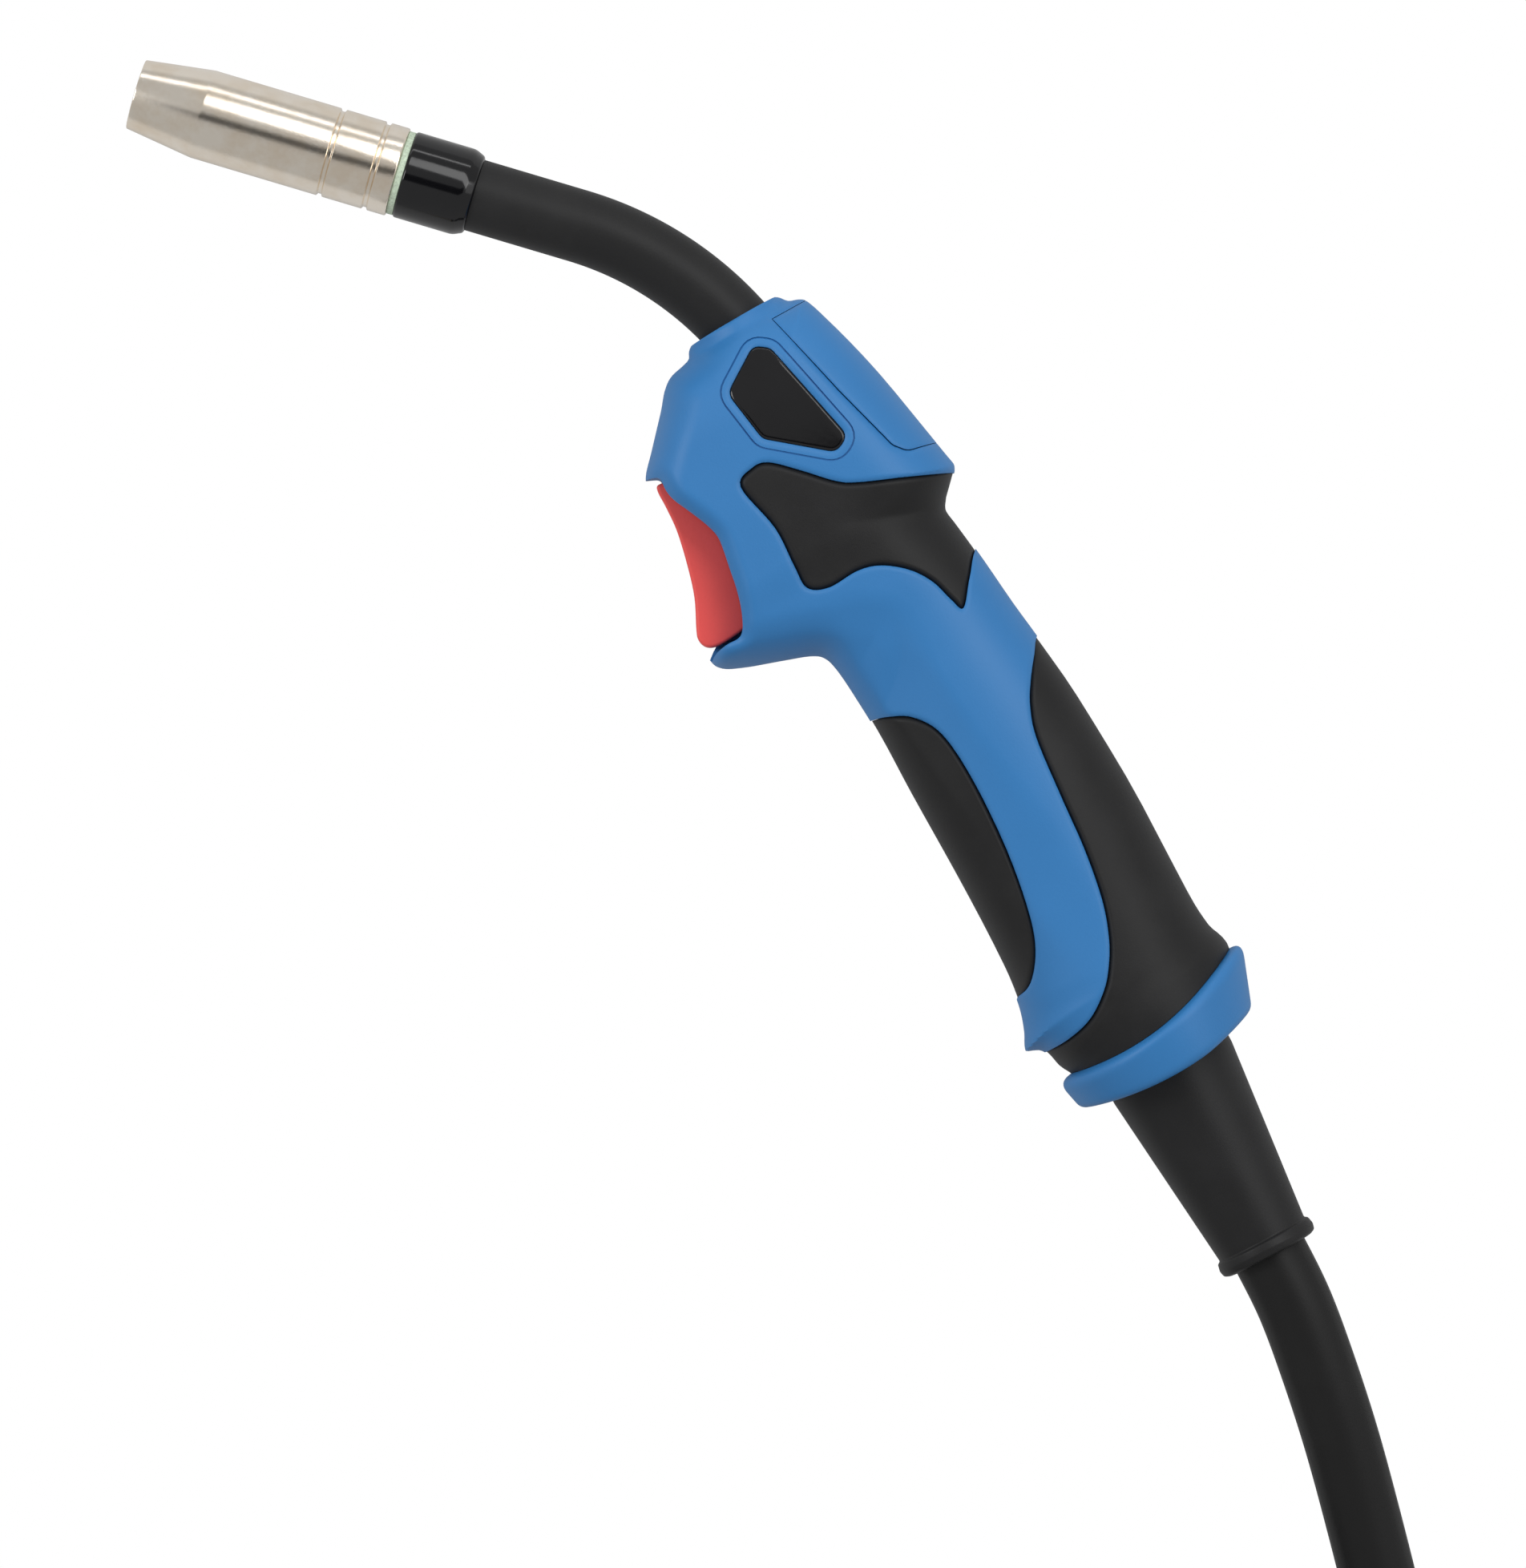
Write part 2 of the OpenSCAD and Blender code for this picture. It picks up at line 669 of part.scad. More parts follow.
module insulating_ring()
    color("#b9d8b4") torch() turned([
        [tube_d / 2 + fit, spigot_x], [nozzle_bore_r - fit, spigot_x],
        [nozzle_bore_r - fit, nozzle_len + face_gap], [ring_d / 2, nozzle_len + face_gap],
        [ring_d / 2, ferrule_x], [tube_d / 2 + fit, ferrule_x]
    ]);

module neck_ferrule() {
    r = ferrule_d / 2;
    sleeve_r = neck_d / 2 + fit;
    end_x = ferrule_x + ferrule_len;
    shoulder = 4;
    drop = r - sleeve_r - 0.4;
    color("#101012") torch() turned(concat(
        [[tube_d / 2 + fit, ferrule_x], [r - 0.4, ferrule_x], [r, ferrule_x + 0.4]],
        [for (a = [0 : 15 : 90]) [r - drop * (1 - cos(a)), end_x - shoulder + shoulder * sin(a)]],
        [[sleeve_r, end_x], [sleeve_r, sleeve_x], [tube_d / 2 + fit, sleeve_x]]
    ));
}

module neck_tube() color(brass) torch() neck_pipe(tube_d, tube_bore, tube_x, tube_end_s, 20);
module neck_sleeve()
    color(black) torch() neck_pipe(neck_d, tube_d + 2 * sleeve_fit, sleeve_x, sleeve_end_s, 24);
module neck_liner()
    color("#d9d4c8") torch()
        neck_pipe(tube_bore - 0.6, 2 * wire_bore, holder_x + holder_len, tube_end_s, 8);

// Handle shells, mirror halves apart from the badge's recess and the screws
module handle_shell(side) {
    $fn = 20;
    intersection() {
        difference() {
            union() {
                difference() {
                    handle_form(0);
                    handle_form(-shell_wall, hollow_first, hollow_front);
                }
                intersection() {
                    handle_form(-shell_wall / 2);
                    handle_inside();
                }
            }
            // Mouth round the neck
            rotate(neck_angle) translate([-handle_x, -handle_y, 0])
                tube(neck_line(sleeve_x, sleeve_end_s + 1), neck_d + 2 * mould_gap, 24);
            trigger_slot();
            for (p = [thumb_outline, finger_outline, palm_outline]) difference() {
                side_prism(side, reach = 5) pad_shape(p);
                handle_form(-pad_depth);
            }
            difference() {
                side_prism(side, reach = 5) cover_shape();
                handle_form(-cover_t);
            }
            if (side > 0) difference() {
                side_prism(side) badge_shape();
                handle_form(-badge_t);
            }
            behind(collar_front_s, collar_lean, front_arch);
            translate([pin_place[0], pin_place[1], 0])
                cylinder(d = pin_d + 2 * mould_gap, h = pin_len + 2 * fit, center = true);
            screw_holes(side);
        }
        translate([-past, -past, side > 0 ? 0 : -past]) cube([5 * past, 2 * past, past]);
    }
}
module handle_shell_left() color(blue) on_handle() handle_shell(1);
module handle_shell_right() color(blue) on_handle() handle_shell(-1);

// Webs, shelf, pegs and bosses moulded inside the shells
module handle_inside() {
    difference() {
        union() {
            translate([nut_web_s, shelf_t, -past / 2]) cube([web_w, past, past]);
            translate([crimp_web_s, -past / 2, -past / 2]) cube([web_w, past, past]);
            translate([shelf_s[0], shelf_t, -past / 2]) cube([shelf_s[1] - shelf_s[0], shelf_w, past]);
        }
        on_nut(2 * mould_gap);
        rotate([0, 90, 0]) cylinder(d = crimp_d + 2 * mould_gap, h = crimp_s + crimp_len);
        wire_paths(3);
    }
    for (x = [-1, 1]) translate([plunger_s + x * switch_hole_gap / 2, switch_t + switch_h / 2, 0]) {
        cylinder(d = switch_hole_d - 2 * mould_gap, h = past, center = true);
        for (z = [-1, 1]) translate([0, 0, z * (switch_w + past) / 2])
            cylinder(d = switch_hole_d + 2, h = past, center = true);
    }
    for (p = screw_places) translate([p[0], p[1], 0]) cylinder(d = boss_d, h = past, center = true);
    for (z = [-1, 1]) translate([pin_place[0], pin_place[1], z * (trigger_w / 2 + trigger_play + past / 2)])
        cylinder(d = pin_d + 4, h = past, center = true);
}

// Room for the trigger through its whole travel
module trigger_slot()
    linear_extrude(trigger_w + 2 * trigger_play, center = true) offset(delta = trigger_play) {
        trigger_shape();
        pressed() trigger_shape();
    }
module pressed()
    translate(pin_place) rotate(trigger_angle) translate(-pin_place) children();

module screw_holes(side)
    for (p = screw_places) translate([p[0], p[1], 0]) {
        translate([0, 0, -past]) cylinder(d = screw_d + 2 * mould_gap, h = past + screw_top + 1);
        if (side < 0) translate([0, 0, -past]) cylinder(d = screw_head_d + 0.4, h = past - screw_sink);
    }

// Rubber pads let into the shells
module pad(outline, side)
    difference() {
        intersection() {
            handle_form(-pad_sink);
            side_prism(side, seam) pad_shape(outline);
        }
        handle_form(-pad_depth);
        behind(collar_front_s, collar_lean, front_arch);
        screw_holes(side);
    }
module thumb_pad_left() color(black) on_handle() pad(thumb_outline, 1);
module thumb_pad_right() color(black) on_handle() pad(thumb_outline, -1);
module finger_grip_left() color(black) on_handle() pad(finger_outline, 1);
module finger_grip_right() color(black) on_handle() pad(finger_outline, -1);
module palm_grip_left() color(black) on_handle() pad(palm_outline, 1);
module palm_grip_right() color(black) on_handle() pad(palm_outline, -1);

// Cover over the back of the head, across both shells
module top_cover()
    color(blue) on_handle() difference() {
        intersection() {
            handle_form(0);
            translate([0, 0, -past]) linear_extrude(2 * past) offset(delta = -seam) cover_shape();
        }
        handle_form(-cover_t);
        screw_holes(-1);
    }

// Bare plate on the left side of the head
module badge_plate()
    color("#151517") on_handle() difference() {
        intersection() {
            handle_form(-0.3);
            side_prism(1, seam) badge_shape();
        }
        handle_form(-badge_t);
    }

module rear_collar() {
    bore_r = boot_d / 2 + mould_gap;
    spigot_r = end_r - shell_wall - 0.9;
    // The torch rests on the collar's front edge, half way round
    rest_s = collar_front_s + front_arch;
    half = 15;
    color(blue) on_handle() difference() {
        union() {
            difference() {
                intersection() {
                    translate([rest_s - half, 0, 0]) rotate([0, 90, 0]) cylinder(
                        r1 = collar_d / 2 + half * collar_taper,
                        r2 = collar_d / 2 - half * collar_taper,
                        h = 2 * half
                    );
                    translate(back_place) rotate(-back_slope) translate([0, -back_r, 0]) rotate([0, 90, 0])
                        cylinder(r = back_r, h = 2 * past, center = true);
                    behind(collar_front_s, collar_lean, front_arch);
                }
                behind(collar_rear_s + collar_lip, 0, rear_arch);
            }
            translate([handle_len - collar_spigot_len, 0, 0]) rotate([0, 90, 0])
                cylinder(r = spigot_r, h = collar_spigot_len + 2);
        }
        translate([collar_rear_s, boot_t, 0]) rotate(-boot_lean) rotate([0, 90, 0])
            cylinder(r = bore_r, h = 2 * past, center = true);
    }
}

module handle_screws()
    color("#8d8f92") on_handle() for (p = screw_places) translate([p[0], p[1], -screw_sink]) {
        translate([0, 0, -screw_head_h]) cylinder(d = screw_head_d, h = screw_head_h);
        cylinder(d = screw_d, h = screw_sink + screw_top);
    }

// Trigger and what it works
module trigger_shape() {
    polygon([for (p = trigger_outline) place(p)]);
    translate(pin_place) circle(r = trigger_head_r);
}
module trigger()
    color(red) on_handle() difference() {
        linear_extrude(trigger_w, center = true) trigger_shape();
        translate([pin_place[0], pin_place[1], 0]) cylinder(d = pin_d + 2 * fit, h = past, center = true);
    }

module trigger_pin()
    color(steel) on_handle() translate([pin_place[0], pin_place[1], 0])
        cylinder(d = pin_d, h = pin_len, center = true);

module trigger_spring() {
    rings = 8;
    length = spring_to - spring_from - spring_wire;
    path = [
        for (i = [0 : spring_turns * rings])
            [
                (spring_d - spring_wire) / 2 * cos(i * 360 / rings),
                (spring_d - spring_wire) / 2 * sin(i * 360 / rings),
                length * i / (spring_turns * rings)
            ]
    ];
    color(steel) on_handle() translate([spring_s, spring_from + spring_wire / 2, 0]) rotate([-90, 0, 0])
        tube(path, spring_wire, 6);
}

module switch_body()
    color("#232323") on_handle() difference() {
        translate([switch_s, switch_t, -switch_w / 2]) cube([switch_len, switch_h, switch_w]);
        for (x = [-1, 1]) translate([plunger_s + x * switch_hole_gap / 2, switch_t + switch_h / 2, 0])
            cylinder(d = switch_hole_d, h = past, center = true);
        translate([plunger_s - plunger_w / 2 - plunger_play, switch_t - 1, -plunger_w / 2 - plunger_play])
            cube([plunger_w + 2 * plunger_play, 1 + switch_h / 2 - 1.2, plunger_w + 2 * plunger_play]);
    }

module switch_plunger()
    color("#d8d2c4") on_handle()
        translate([plunger_s - plunger_w / 2, switch_t - plunger_out, -plunger_w / 2])
            cube([plunger_w, plunger_out + 0.6, plunger_w]);

// Two wires from the switch back along the cable
module wire_paths(d)
    for (z = [-1, 1]) {
        start = [switch_s + switch_len, switch_t + switch_h / 2, z * 1.9];
        ends = [crimp_s + crimp_len + 20, -9.6, z * 1.6];
        tube(
            [
                start, start + [1, 0, 0], [spring_s, start[1], z * (spring_d / 2 + 1.8)],
                [shelf_s[1] + 3, start[1] + 1.5, z * 2.4],
                [crimp_s + 14.3, -11.2, z * 2.2], ends - [6, 0, 0], ends
            ],
            d, 8
        );
    }
module switch_wires() color("#5b5f66") on_handle() wire_paths(1.6);

// Brass fittings that join the neck to the cable
module on_nut(grow)
    translate([nut_s, 0, 0]) rotate([0, 90, 0])
        cylinder(d = (nut_flats + grow) / cos(30), h = nut_w, $fn = 6);
module neck_nut()
    color(brass) on_handle() difference() {
        on_nut(0);
        translate([nut_s - 1, 0, 0]) rotate([0, 90, 0]) cylinder(d = tube_d + 2 * fit, h = nut_w + 2);
    }

module cable_crimp() {
    plug_r = tube_d / 2 - fit;
    plug_len = 4;
    groove = 0.6;
    function pinch(z) = [
        [crimp_d / 2, z - 1.5], [crimp_d / 2 - groove, z - 1],
        [crimp_d / 2 - groove, z + 1], [crimp_d / 2, z + 1.5]
    ];
    color(copper) on_handle() translate([crimp_s, 0, 0]) turned(concat(
        [[0, -plug_len], [plug_r, -plug_len], [plug_r, 0], [crimp_d / 2, 0]],
        pinch(7),
        pinch(18),
        [[crimp_d / 2, crimp_len], [0, crimp_len]]
    ));
}

module cable_boot() color(black) on_boot() rotate_extrude() polygon(boot_outline);

// Cable: free stretch, stored coil and tail
module power_cable() color(black) tube(cable_path, cable_d, 12);
module cable_coil() color(black) tube(coil_path, cable_d, 6);
module cable_tail() color(black) tube(tail_path, cable_d, 12);

module coil_ties() {
    room = 1.6;
    high_z = coil_z + coil_step + cable_d / 2 + coil_clear;
    color("#3a3a3c") for (a = [110, 200, 320]) {
        turns = coil_turns_at(a);
        low_r = min(turns) - cable_d / 2 - room;
        high_r = max(turns) + cable_d / 2 + room;
        translate([coil_middle[0], coil_middle[1], 0]) rotate(a) rotate([90, 0, 0])
            linear_extrude(tie_w, center = true) difference() {
                translate([low_r - tie_t, 0]) square([high_r - low_r + 2 * tie_t, high_z + tie_t]);
                translate([low_r, tie_t]) square([high_r - low_r, high_z - tie_t]);
            }
    }
}

// Connector at the machine's end
module connector_boot() {
    from_r = cable_d / 2 + 2.6;
    to_r = housing_d / 2 - 2.4;
    ribs = 6;
    pitch = (plug_boot_len - 8) / ribs;
    cut = 1.3;
    function outer(z) = from_r + (to_r - from_r) * z / plug_boot_len;
    color(black) on_plug() rotate_extrude() polygon(concat(
        [[cable_bore_r, 0], [outer(0), 0]],
        [
            for (i = [0 : ribs - 1]) let (z = 4 + i * pitch)
                each [
                    [outer(z), z], [outer(z) - cut, z + pitch / 4],
                    [outer(z) - cut, z + pitch / 2], [outer(z), z + pitch * 3 / 4]
                ]
        ],
        [[to_r, plug_boot_len], [cable_bore_r, plug_boot_len]]
    ));
}

module connector_housing() {
    r = housing_d / 2;
    color("#2f3032") on_plug() rotate_extrude() polygon([
        [cable_bore_r, plug_boot_len], [r - 2, plug_boot_len], [r, plug_boot_len + 3],
        [r, housing_end - 0.6], [r - 0.6, housing_end], [core_neck_d / 2 + fit, housing_end],
        [core_neck_d / 2 + fit, cable_end_z], [cable_bore_r, cable_end_z]
    ]);
}

module connector_nut() {
    r = nut_d / 2;
    flutes = 18;
    flute_d = 4;
    flute_cut = 0.9;
    thread_r = flange_d / 2 + 1;
    to = nut_from + nut_len;
    color("#37383a") on_plug() difference() {
        rotate_extrude() polygon([
            [core_neck_d / 2 + core_play, nut_from], [r - 1.5, nut_from], [r, nut_from + 1.5],
            [r, to - 1.5], [r - 1.5, to], [thread_r, to], [thread_r, nut_from + nut_shoulder],
            [core_neck_d / 2 + core_play, nut_from + nut_shoulder]
        ]);
        for (i = [0 : flutes - 1]) rotate((i + 0.5) * 360 / flutes)
            translate([r + flute_d / 2 - flute_cut, 0, nut_from - 1])
                cylinder(d = flute_d, h = nut_len + 2);
    }
}

module connector_core()
    color(brass) on_plug() difference() {
        rotate_extrude() polygon([
            [wire_bore * 1.5, cable_end_z], [core_neck_d / 2, cable_end_z], [core_neck_d / 2, flange_from],
            [flange_d / 2, flange_from], [flange_d / 2, flange_from + flange_w],
            [nose_d / 2, flange_from + flange_w], [nose_d / 2, nose_end], [power_pin_d / 2, nose_end],
            [power_pin_d / 2, pin_end - 1], [power_pin_d / 2 - 1, pin_end], [wire_bore * 1.5, pin_end]
        ]);
        for (x = [-1, 1]) translate([0, x * control_r, nose_end - control_in])
            cylinder(d = control_d + 2 * fit, h = past);
    }

module control_pins()
    color(brass) on_plug() for (x = [-1, 1]) translate([0, x * control_r, nose_end - control_in])
        cylinder(d = control_d, h = control_in + control_out);

module liner_nut()
    color(brass) on_plug() translate([0, 0, pin_end]) difference() {
        cylinder(d = power_pin_d - 1.5, h = liner_nut_w, $fn = 6);
        translate([0, 0, -1]) cylinder(r = wire_bore, h = liner_nut_w + 2);
    }

gas_nozzle();
contact_tip();
tip_holder();
nozzle_spring();
insulating_ring();
neck_ferrule();
neck_tube();
neck_sleeve();
neck_liner();
handle_shell_left();
handle_shell_right();
top_cover();
badge_plate();
rear_collar();
handle_screws();
thumb_pad_left();
thumb_pad_right();
finger_grip_left();
finger_grip_right();
palm_grip_left();
palm_grip_right();
trigger();
trigger_pin();
trigger_spring();
switch_body();
switch_plunger();
switch_wires();
neck_nut();
cable_crimp();
cable_boot();
power_cable();
cable_coil();
cable_tail();
coil_ties();
connector_boot();
connector_housing();
connector_nut();
connector_core();
control_pins();
liner_nut();
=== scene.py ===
"""Looks of a gas-shielded welding torch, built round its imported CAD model."""

import functools
import json
import math

import bpy
import numpy as np
from mathutils import Matrix, Vector


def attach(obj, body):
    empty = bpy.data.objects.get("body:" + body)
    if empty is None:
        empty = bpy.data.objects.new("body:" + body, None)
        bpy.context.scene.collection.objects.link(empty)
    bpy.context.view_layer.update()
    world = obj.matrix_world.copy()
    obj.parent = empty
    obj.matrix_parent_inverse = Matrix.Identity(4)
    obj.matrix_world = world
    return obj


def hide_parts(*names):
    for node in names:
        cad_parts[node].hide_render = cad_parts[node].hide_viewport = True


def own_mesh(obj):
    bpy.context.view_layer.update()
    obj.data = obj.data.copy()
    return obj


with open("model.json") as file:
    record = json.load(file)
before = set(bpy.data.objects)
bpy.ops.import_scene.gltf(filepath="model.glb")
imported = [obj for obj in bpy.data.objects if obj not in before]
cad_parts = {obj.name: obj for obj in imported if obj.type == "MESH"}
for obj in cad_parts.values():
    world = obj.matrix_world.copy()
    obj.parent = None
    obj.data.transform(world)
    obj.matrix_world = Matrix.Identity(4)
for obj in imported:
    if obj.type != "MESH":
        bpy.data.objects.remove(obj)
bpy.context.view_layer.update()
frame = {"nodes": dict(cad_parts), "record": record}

bl_info = {
    "name": "Welding torch looks",
    "version": (1, 1, 0),
    "blender": (4, 5, 0),
    "location": "View3D > Sidebar > Torch",
    "description": "Builds the visible pieces of a welding torch on its CAD frame",
    "category": "Object",
}

MM = 0.001
# Further out than any piece of the handle reaches
FAR = 60
NODES = frame["nodes"]


def axes(x, y, z=0.0, turn=0.0):
    """Axes at a place in millimetres, turned about the upright."""
    return Matrix.Translation(Vector((x, y, z)) * MM) @ Matrix.Rotation(turn, 4, "Z")


# Axes of the CAD model that the pieces are drawn on
TURN = math.radians(43)
NOZZLE = axes(-140.964, 75.4147, 21.8)
HANDLE = axes(-5.72, 57.4154, 21.8, -TURN)
BOOT = HANDLE @ axes(150.4, -1.5, 0, math.radians(-2.3))

# Edges of the handle seen from its side, as places along it and across it
FRONT = [
    (-24, -10.4), (-14.5, -11), (-14.1, -11.6), (-13.5, -12.1), (-12.5, -12.7), (-12, -14.4),
    (-11.5, -16.9), (-10.4, -18.9), (-6.6, -22.4), (-0.6, -28.1), (3.2, -31.6), (8, -33.6), (16, -35.6),
    (25, -37.2), (34, -38.3), (39.6, -38.7), (41.2, -38.4), (42.7, -37.2), (44.4, -33.9), (47.2, -26.4),
    (49.3, -21.1), (50.4, -19.6), (52.3, -18.7), (56, -18.2), (60, -18), (68, -17.8), (82, -18.3),
    (100, -18.7), (120, -19.7), (128, -20.9), (133, -22.6), (135.6, -24), (136.3, -24.2), (136.9, -23),
    (137.6, -21.7), (139, -20.9), (142, -20.3), (146, -18.7), (152, -18.7), (172, -18.7),
]
BACK = [
    (-24, 7.4), (-14.5, 7.9), (-14.1, 8.5), (-13.5, 8.95), (-12.5, 9.8), (-11.9, 11.4), (-11.2, 12.5),
    (-10.4, 12.95), (-6.5, 14.2), (3.2, 16.7), (9.5, 18), (21.3, 19.9), (29.1, 21.1), (31, 21.4),
    (32.2, 20.9), (33.6, 19.6), (37.2, 16.2), (38.2, 15.8), (40.8, 16.1), (50, 17), (60, 17.7),
    (68, 18.5), (82, 19.6), (100, 19.9), (120, 19.1), (128, 18.8), (133, 19.1), (136.4, 20.2),
    (138, 20.4), (142, 19.7), (172, 19.7),
]
# Place along the handle, half thickness, rounding at front and back, and its squareness
FORM = np.array([
    (-14.5, 9.6, 9.4, 9.4, 2), (-14.1, 10.2, 10, 10, 2), (-13.5, 10.5, 10.5, 10.5, 2),
    (-12.2, 11, 10.8, 10.8, 2), (-11.4, 11.8, 10.5, 11.5, 2.05), (-10.4, 12.8, 10, 12, 2.1),
    (-6.5, 14.8, 9, 13, 2.2), (3.2, 16.8, 8.5, 14, 2.3), (21.3, 17.4, 8.5, 15, 2.3),
    (31, 17.4, 8.5, 15, 2.3), (38, 16.6, 9, 15.5, 2.3), (45, 16.2, 11, 16, 2.3),
    (53, 15.9, 15, 16.5, 2.3), (60, 15.9, 17, 17.3, 2.3), (68, 16.1, 17.7, 18.3, 2.3),
    (82, 16.5, 18.2, 19.3, 2.3), (100, 17, 18.6, 19.7, 2.3), (120, 17.9, 19.4, 19, 2.2),
    (128, 18.4, 20, 18.8, 2.2), (133, 18.9, 21, 19, 2.1), (136.4, 19.2, 21, 20, 2.1),
    (142, 19.7, 20, 19.7, 2), (152, 19.7, 18.7, 19.7, 2),
])

# Outlines seen from the side, on the handle's axes
THUMB = [
    (14.3, -16.7), (12.2, -13), (12.9, -9.6), (17.4, -5), (22.4, -0.4), (24.8, 3.1), (28.5, 11.4),
    (32.6, 20.7), (35.6, 28.2), (44, 28.2), (46.7, 17.8), (51.6, 12.7), (56.1, 8.6), (53.3, 7.3),
    (48.7, 6), (44.5, 3.3), (41, -1), (39.6, -5.5), (39.6, -11.8), (37.5, -15.5), (32.6, -15.5),
    (24.4, -15),
]
FINGER = [
    (64.1, -26.9), (65.7, -18.4), (66.9, -14.4), (69.5, -10.3), (74.9, -7.3), (84.9, -6.6),
    (98.9, -7.6), (110.9, -9.7), (118.9, -12.2), (124.5, -16.1), (126.3, -19.9), (126.1, -26.9),
]
PALM = [
    (65.8, 27.2), (67.5, 19.2), (70.8, 15.9), (74.9, 12.6), (78.9, 10.1), (84.9, 8), (96.9, 6.4),
    (108.1, 5.1), (118.1, 3.1), (124.9, 0.6), (129.5, -2.1), (133.3, -5.4), (136.7, -10.4),
    (138.1, -15.8), (138.4, -21.8), (138.7, -29.8), (162.1, -33.8), (162.1, 27.2),
]
# Corners with the radius that rounds each
COVER = [(-10.9, 5, 0), (7.9, 9, 0), (22.1, 12.6, 2.5), (24.6, 14.6, 3), (27.2, 27, 0), (-10.9, 27, 0)]
BADGE = [
    (-8.2, -0.8, 2.4), (-6, 1.9, 2.4), (16.2, 6.2, 2.6), (17.9, 2.6, 2.6), (8.4, -8.4, 2.8),
    (-2.6, -9.8, 2.8),
]
# Line along which the handle's flat side folds down to its front, and round the front of it
FOLD = [
    (36.6, -45), (37.8, -36), (39.2, -31), (41.2, -24.9), (43.4, -16.4), (44.8, -11), (46.4, -7.4),
    (49.2, -4.3), (54, -3), (64.3, -2.6), (74.2, -2.4), (83.5, -1.9), (92.8, -1.3), (107.3, -0.8),
    (119.4, -1.9), (125.6, -4.1), (131.3, -8.5), (135.6, -15.1), (137.3, -19.9), (139, -28), (140, -45),
]
# Floor of the thumb's rest, across the handle and along it
VALLEY = [(-20, 24.6), (-5.2, 29.8), (1.9, 32.5), (7.8, 34.9), (12.6, 36.6), (15.9, 37.8), (30, 42.6)]
# Rim of the bay that the trigger moves in, and the hook that ends it on each half
BAY = [
    (3.3, -33), (3.9, -30.8), (4.9, -29.3), (7.3, -29.4), (9.7, -29), (13.2, -27.5), (17, -26),
    (20, -25.3), (22.7, -25.6), (26.5, -26.4), (30.4, -27.2), (34.1, -28.3),
]
HOOK = {
    1: [
        (37, -29.6), (38.6, -30.7), (39.2, -32), (39.1, -34.2), (39.4, -36.4), (40, -37.9),
        (41.1, -39.3),
    ],
    -1: [
        (36.4, -29.4), (37.2, -30.6), (37.3, -32), (37.3, -34.2), (38, -36), (39.1, -37.6),
        (40.4, -39.3),
    ],
}
TRIGGER = [
    (5.6, -29), (6, -30.7), (10, -31), (15, -31.5), (21.7, -33.1), (27.9, -35.1), (33.4, -37.9),
    (35.4, -38.6), (37.2, -38.1), (38.2, -36.4), (38.4, -33), (37.8, -27.2), (36.9, -25.8),
    (35.4, -24.7), (33.4, -24.4), (31.4, -24.4), (27.8, -24.4), (26.4, -23.6), (25, -22.9),
    (23.4, -22.6), (21.4, -22.6), (15.2, -22.6), (9.7, -22.9), (6.2, -23.4), (4.7, -25), (4.7, -27),
]
# The trigger's pin, how far along its spring stands, and the screws that hold the halves
PIN = (7.5, -25.8)
SPRING = 31.5
SCREWS = [(0, -15), (34.5, 13.2), (60.5, 12.2), (127, -13.6)]
# Radius of the room for a screw's head, and how deep on the right side the head seats
SCREW_ROOM, SCREW_SEAT = 3, -5.2
SIDES = ((1, "left"), (-1, "right"))
# Faces of the collar: place along the handle, arch over its width, lean
COLLAR_FRONT = (141.8, 3.9, math.radians(8))
COLLAR_REAR = (151.8, 3.5, 0)
# Depth of the beds that are cut for the pads, the cover and the badge, and the play under each
PAD_BED, COVER_BED, BADGE_BED, BED_PLAY = 1.5, 1.8, 1.2, 0.05
# Stored coil: its middle, half the degrees that it winds, where it starts, play between its turns
COIL_MIDDLE = (134.202, -265.529)
COIL_HALF = 976.0
COIL_START = 32.0
COIL_PLAY = 0.8
# Edges that turn by more than this stay crisp
CRISP = math.radians(36)


# Drawing

def through(points, steps=6, closed=True):
    """A smooth line through its points."""
    p = np.array(points, float)
    p = np.concatenate([p[-1:], p, p[:2]] if closed else [p[:1], p, p[-1:]])
    u = (np.arange(steps) / steps)[:, None]
    out = []
    for a, b, c, d in zip(p, p[1:], p[2:], p[3:]):
        bent = (2 * a - 5 * b + 4 * c - d) * u**2 + (3 * b - a - 3 * c + d) * u**3
        out.append(b + 0.5 * ((c - a) * u + bent))
    if not closed:
        out.append(p[-1:])
    return np.concatenate(out)


def softened(corners, steps=5):
    """A closed outline of corners, each with the radius that rounds it."""
    at = np.array([corner[:2] for corner in corners], float)
    w = np.linspace(0, 1, steps + 1)[:, None]
    out = []
    for corner, before, here, after in zip(corners, np.roll(at, 1, 0), at, np.roll(at, -1, 0)):
        if len(corner) < 3 or corner[2] <= 0:
            out.append(here)
            continue
        u, v = before - here, after - here
        long_u, long_v = np.linalg.norm(u), np.linalg.norm(v)
        u, v = u / long_u, v / long_v
        half = math.acos(np.clip(u @ v, -1, 1)) / 2
        run = min(corner[2] / max(math.tan(half), 1e-6), 0.48 * long_u, 0.48 * long_v)
        out.extend(here + run * ((1 - w) ** 2 * u + w * w * v))
    return np.array(out)


def circle(middle, radius, count=32):
    """A ring of places round a middle."""
    turn = np.arange(count) * 2 * math.pi / count
    return np.array(middle) + radius * np.column_stack([np.cos(turn), np.sin(turn)])


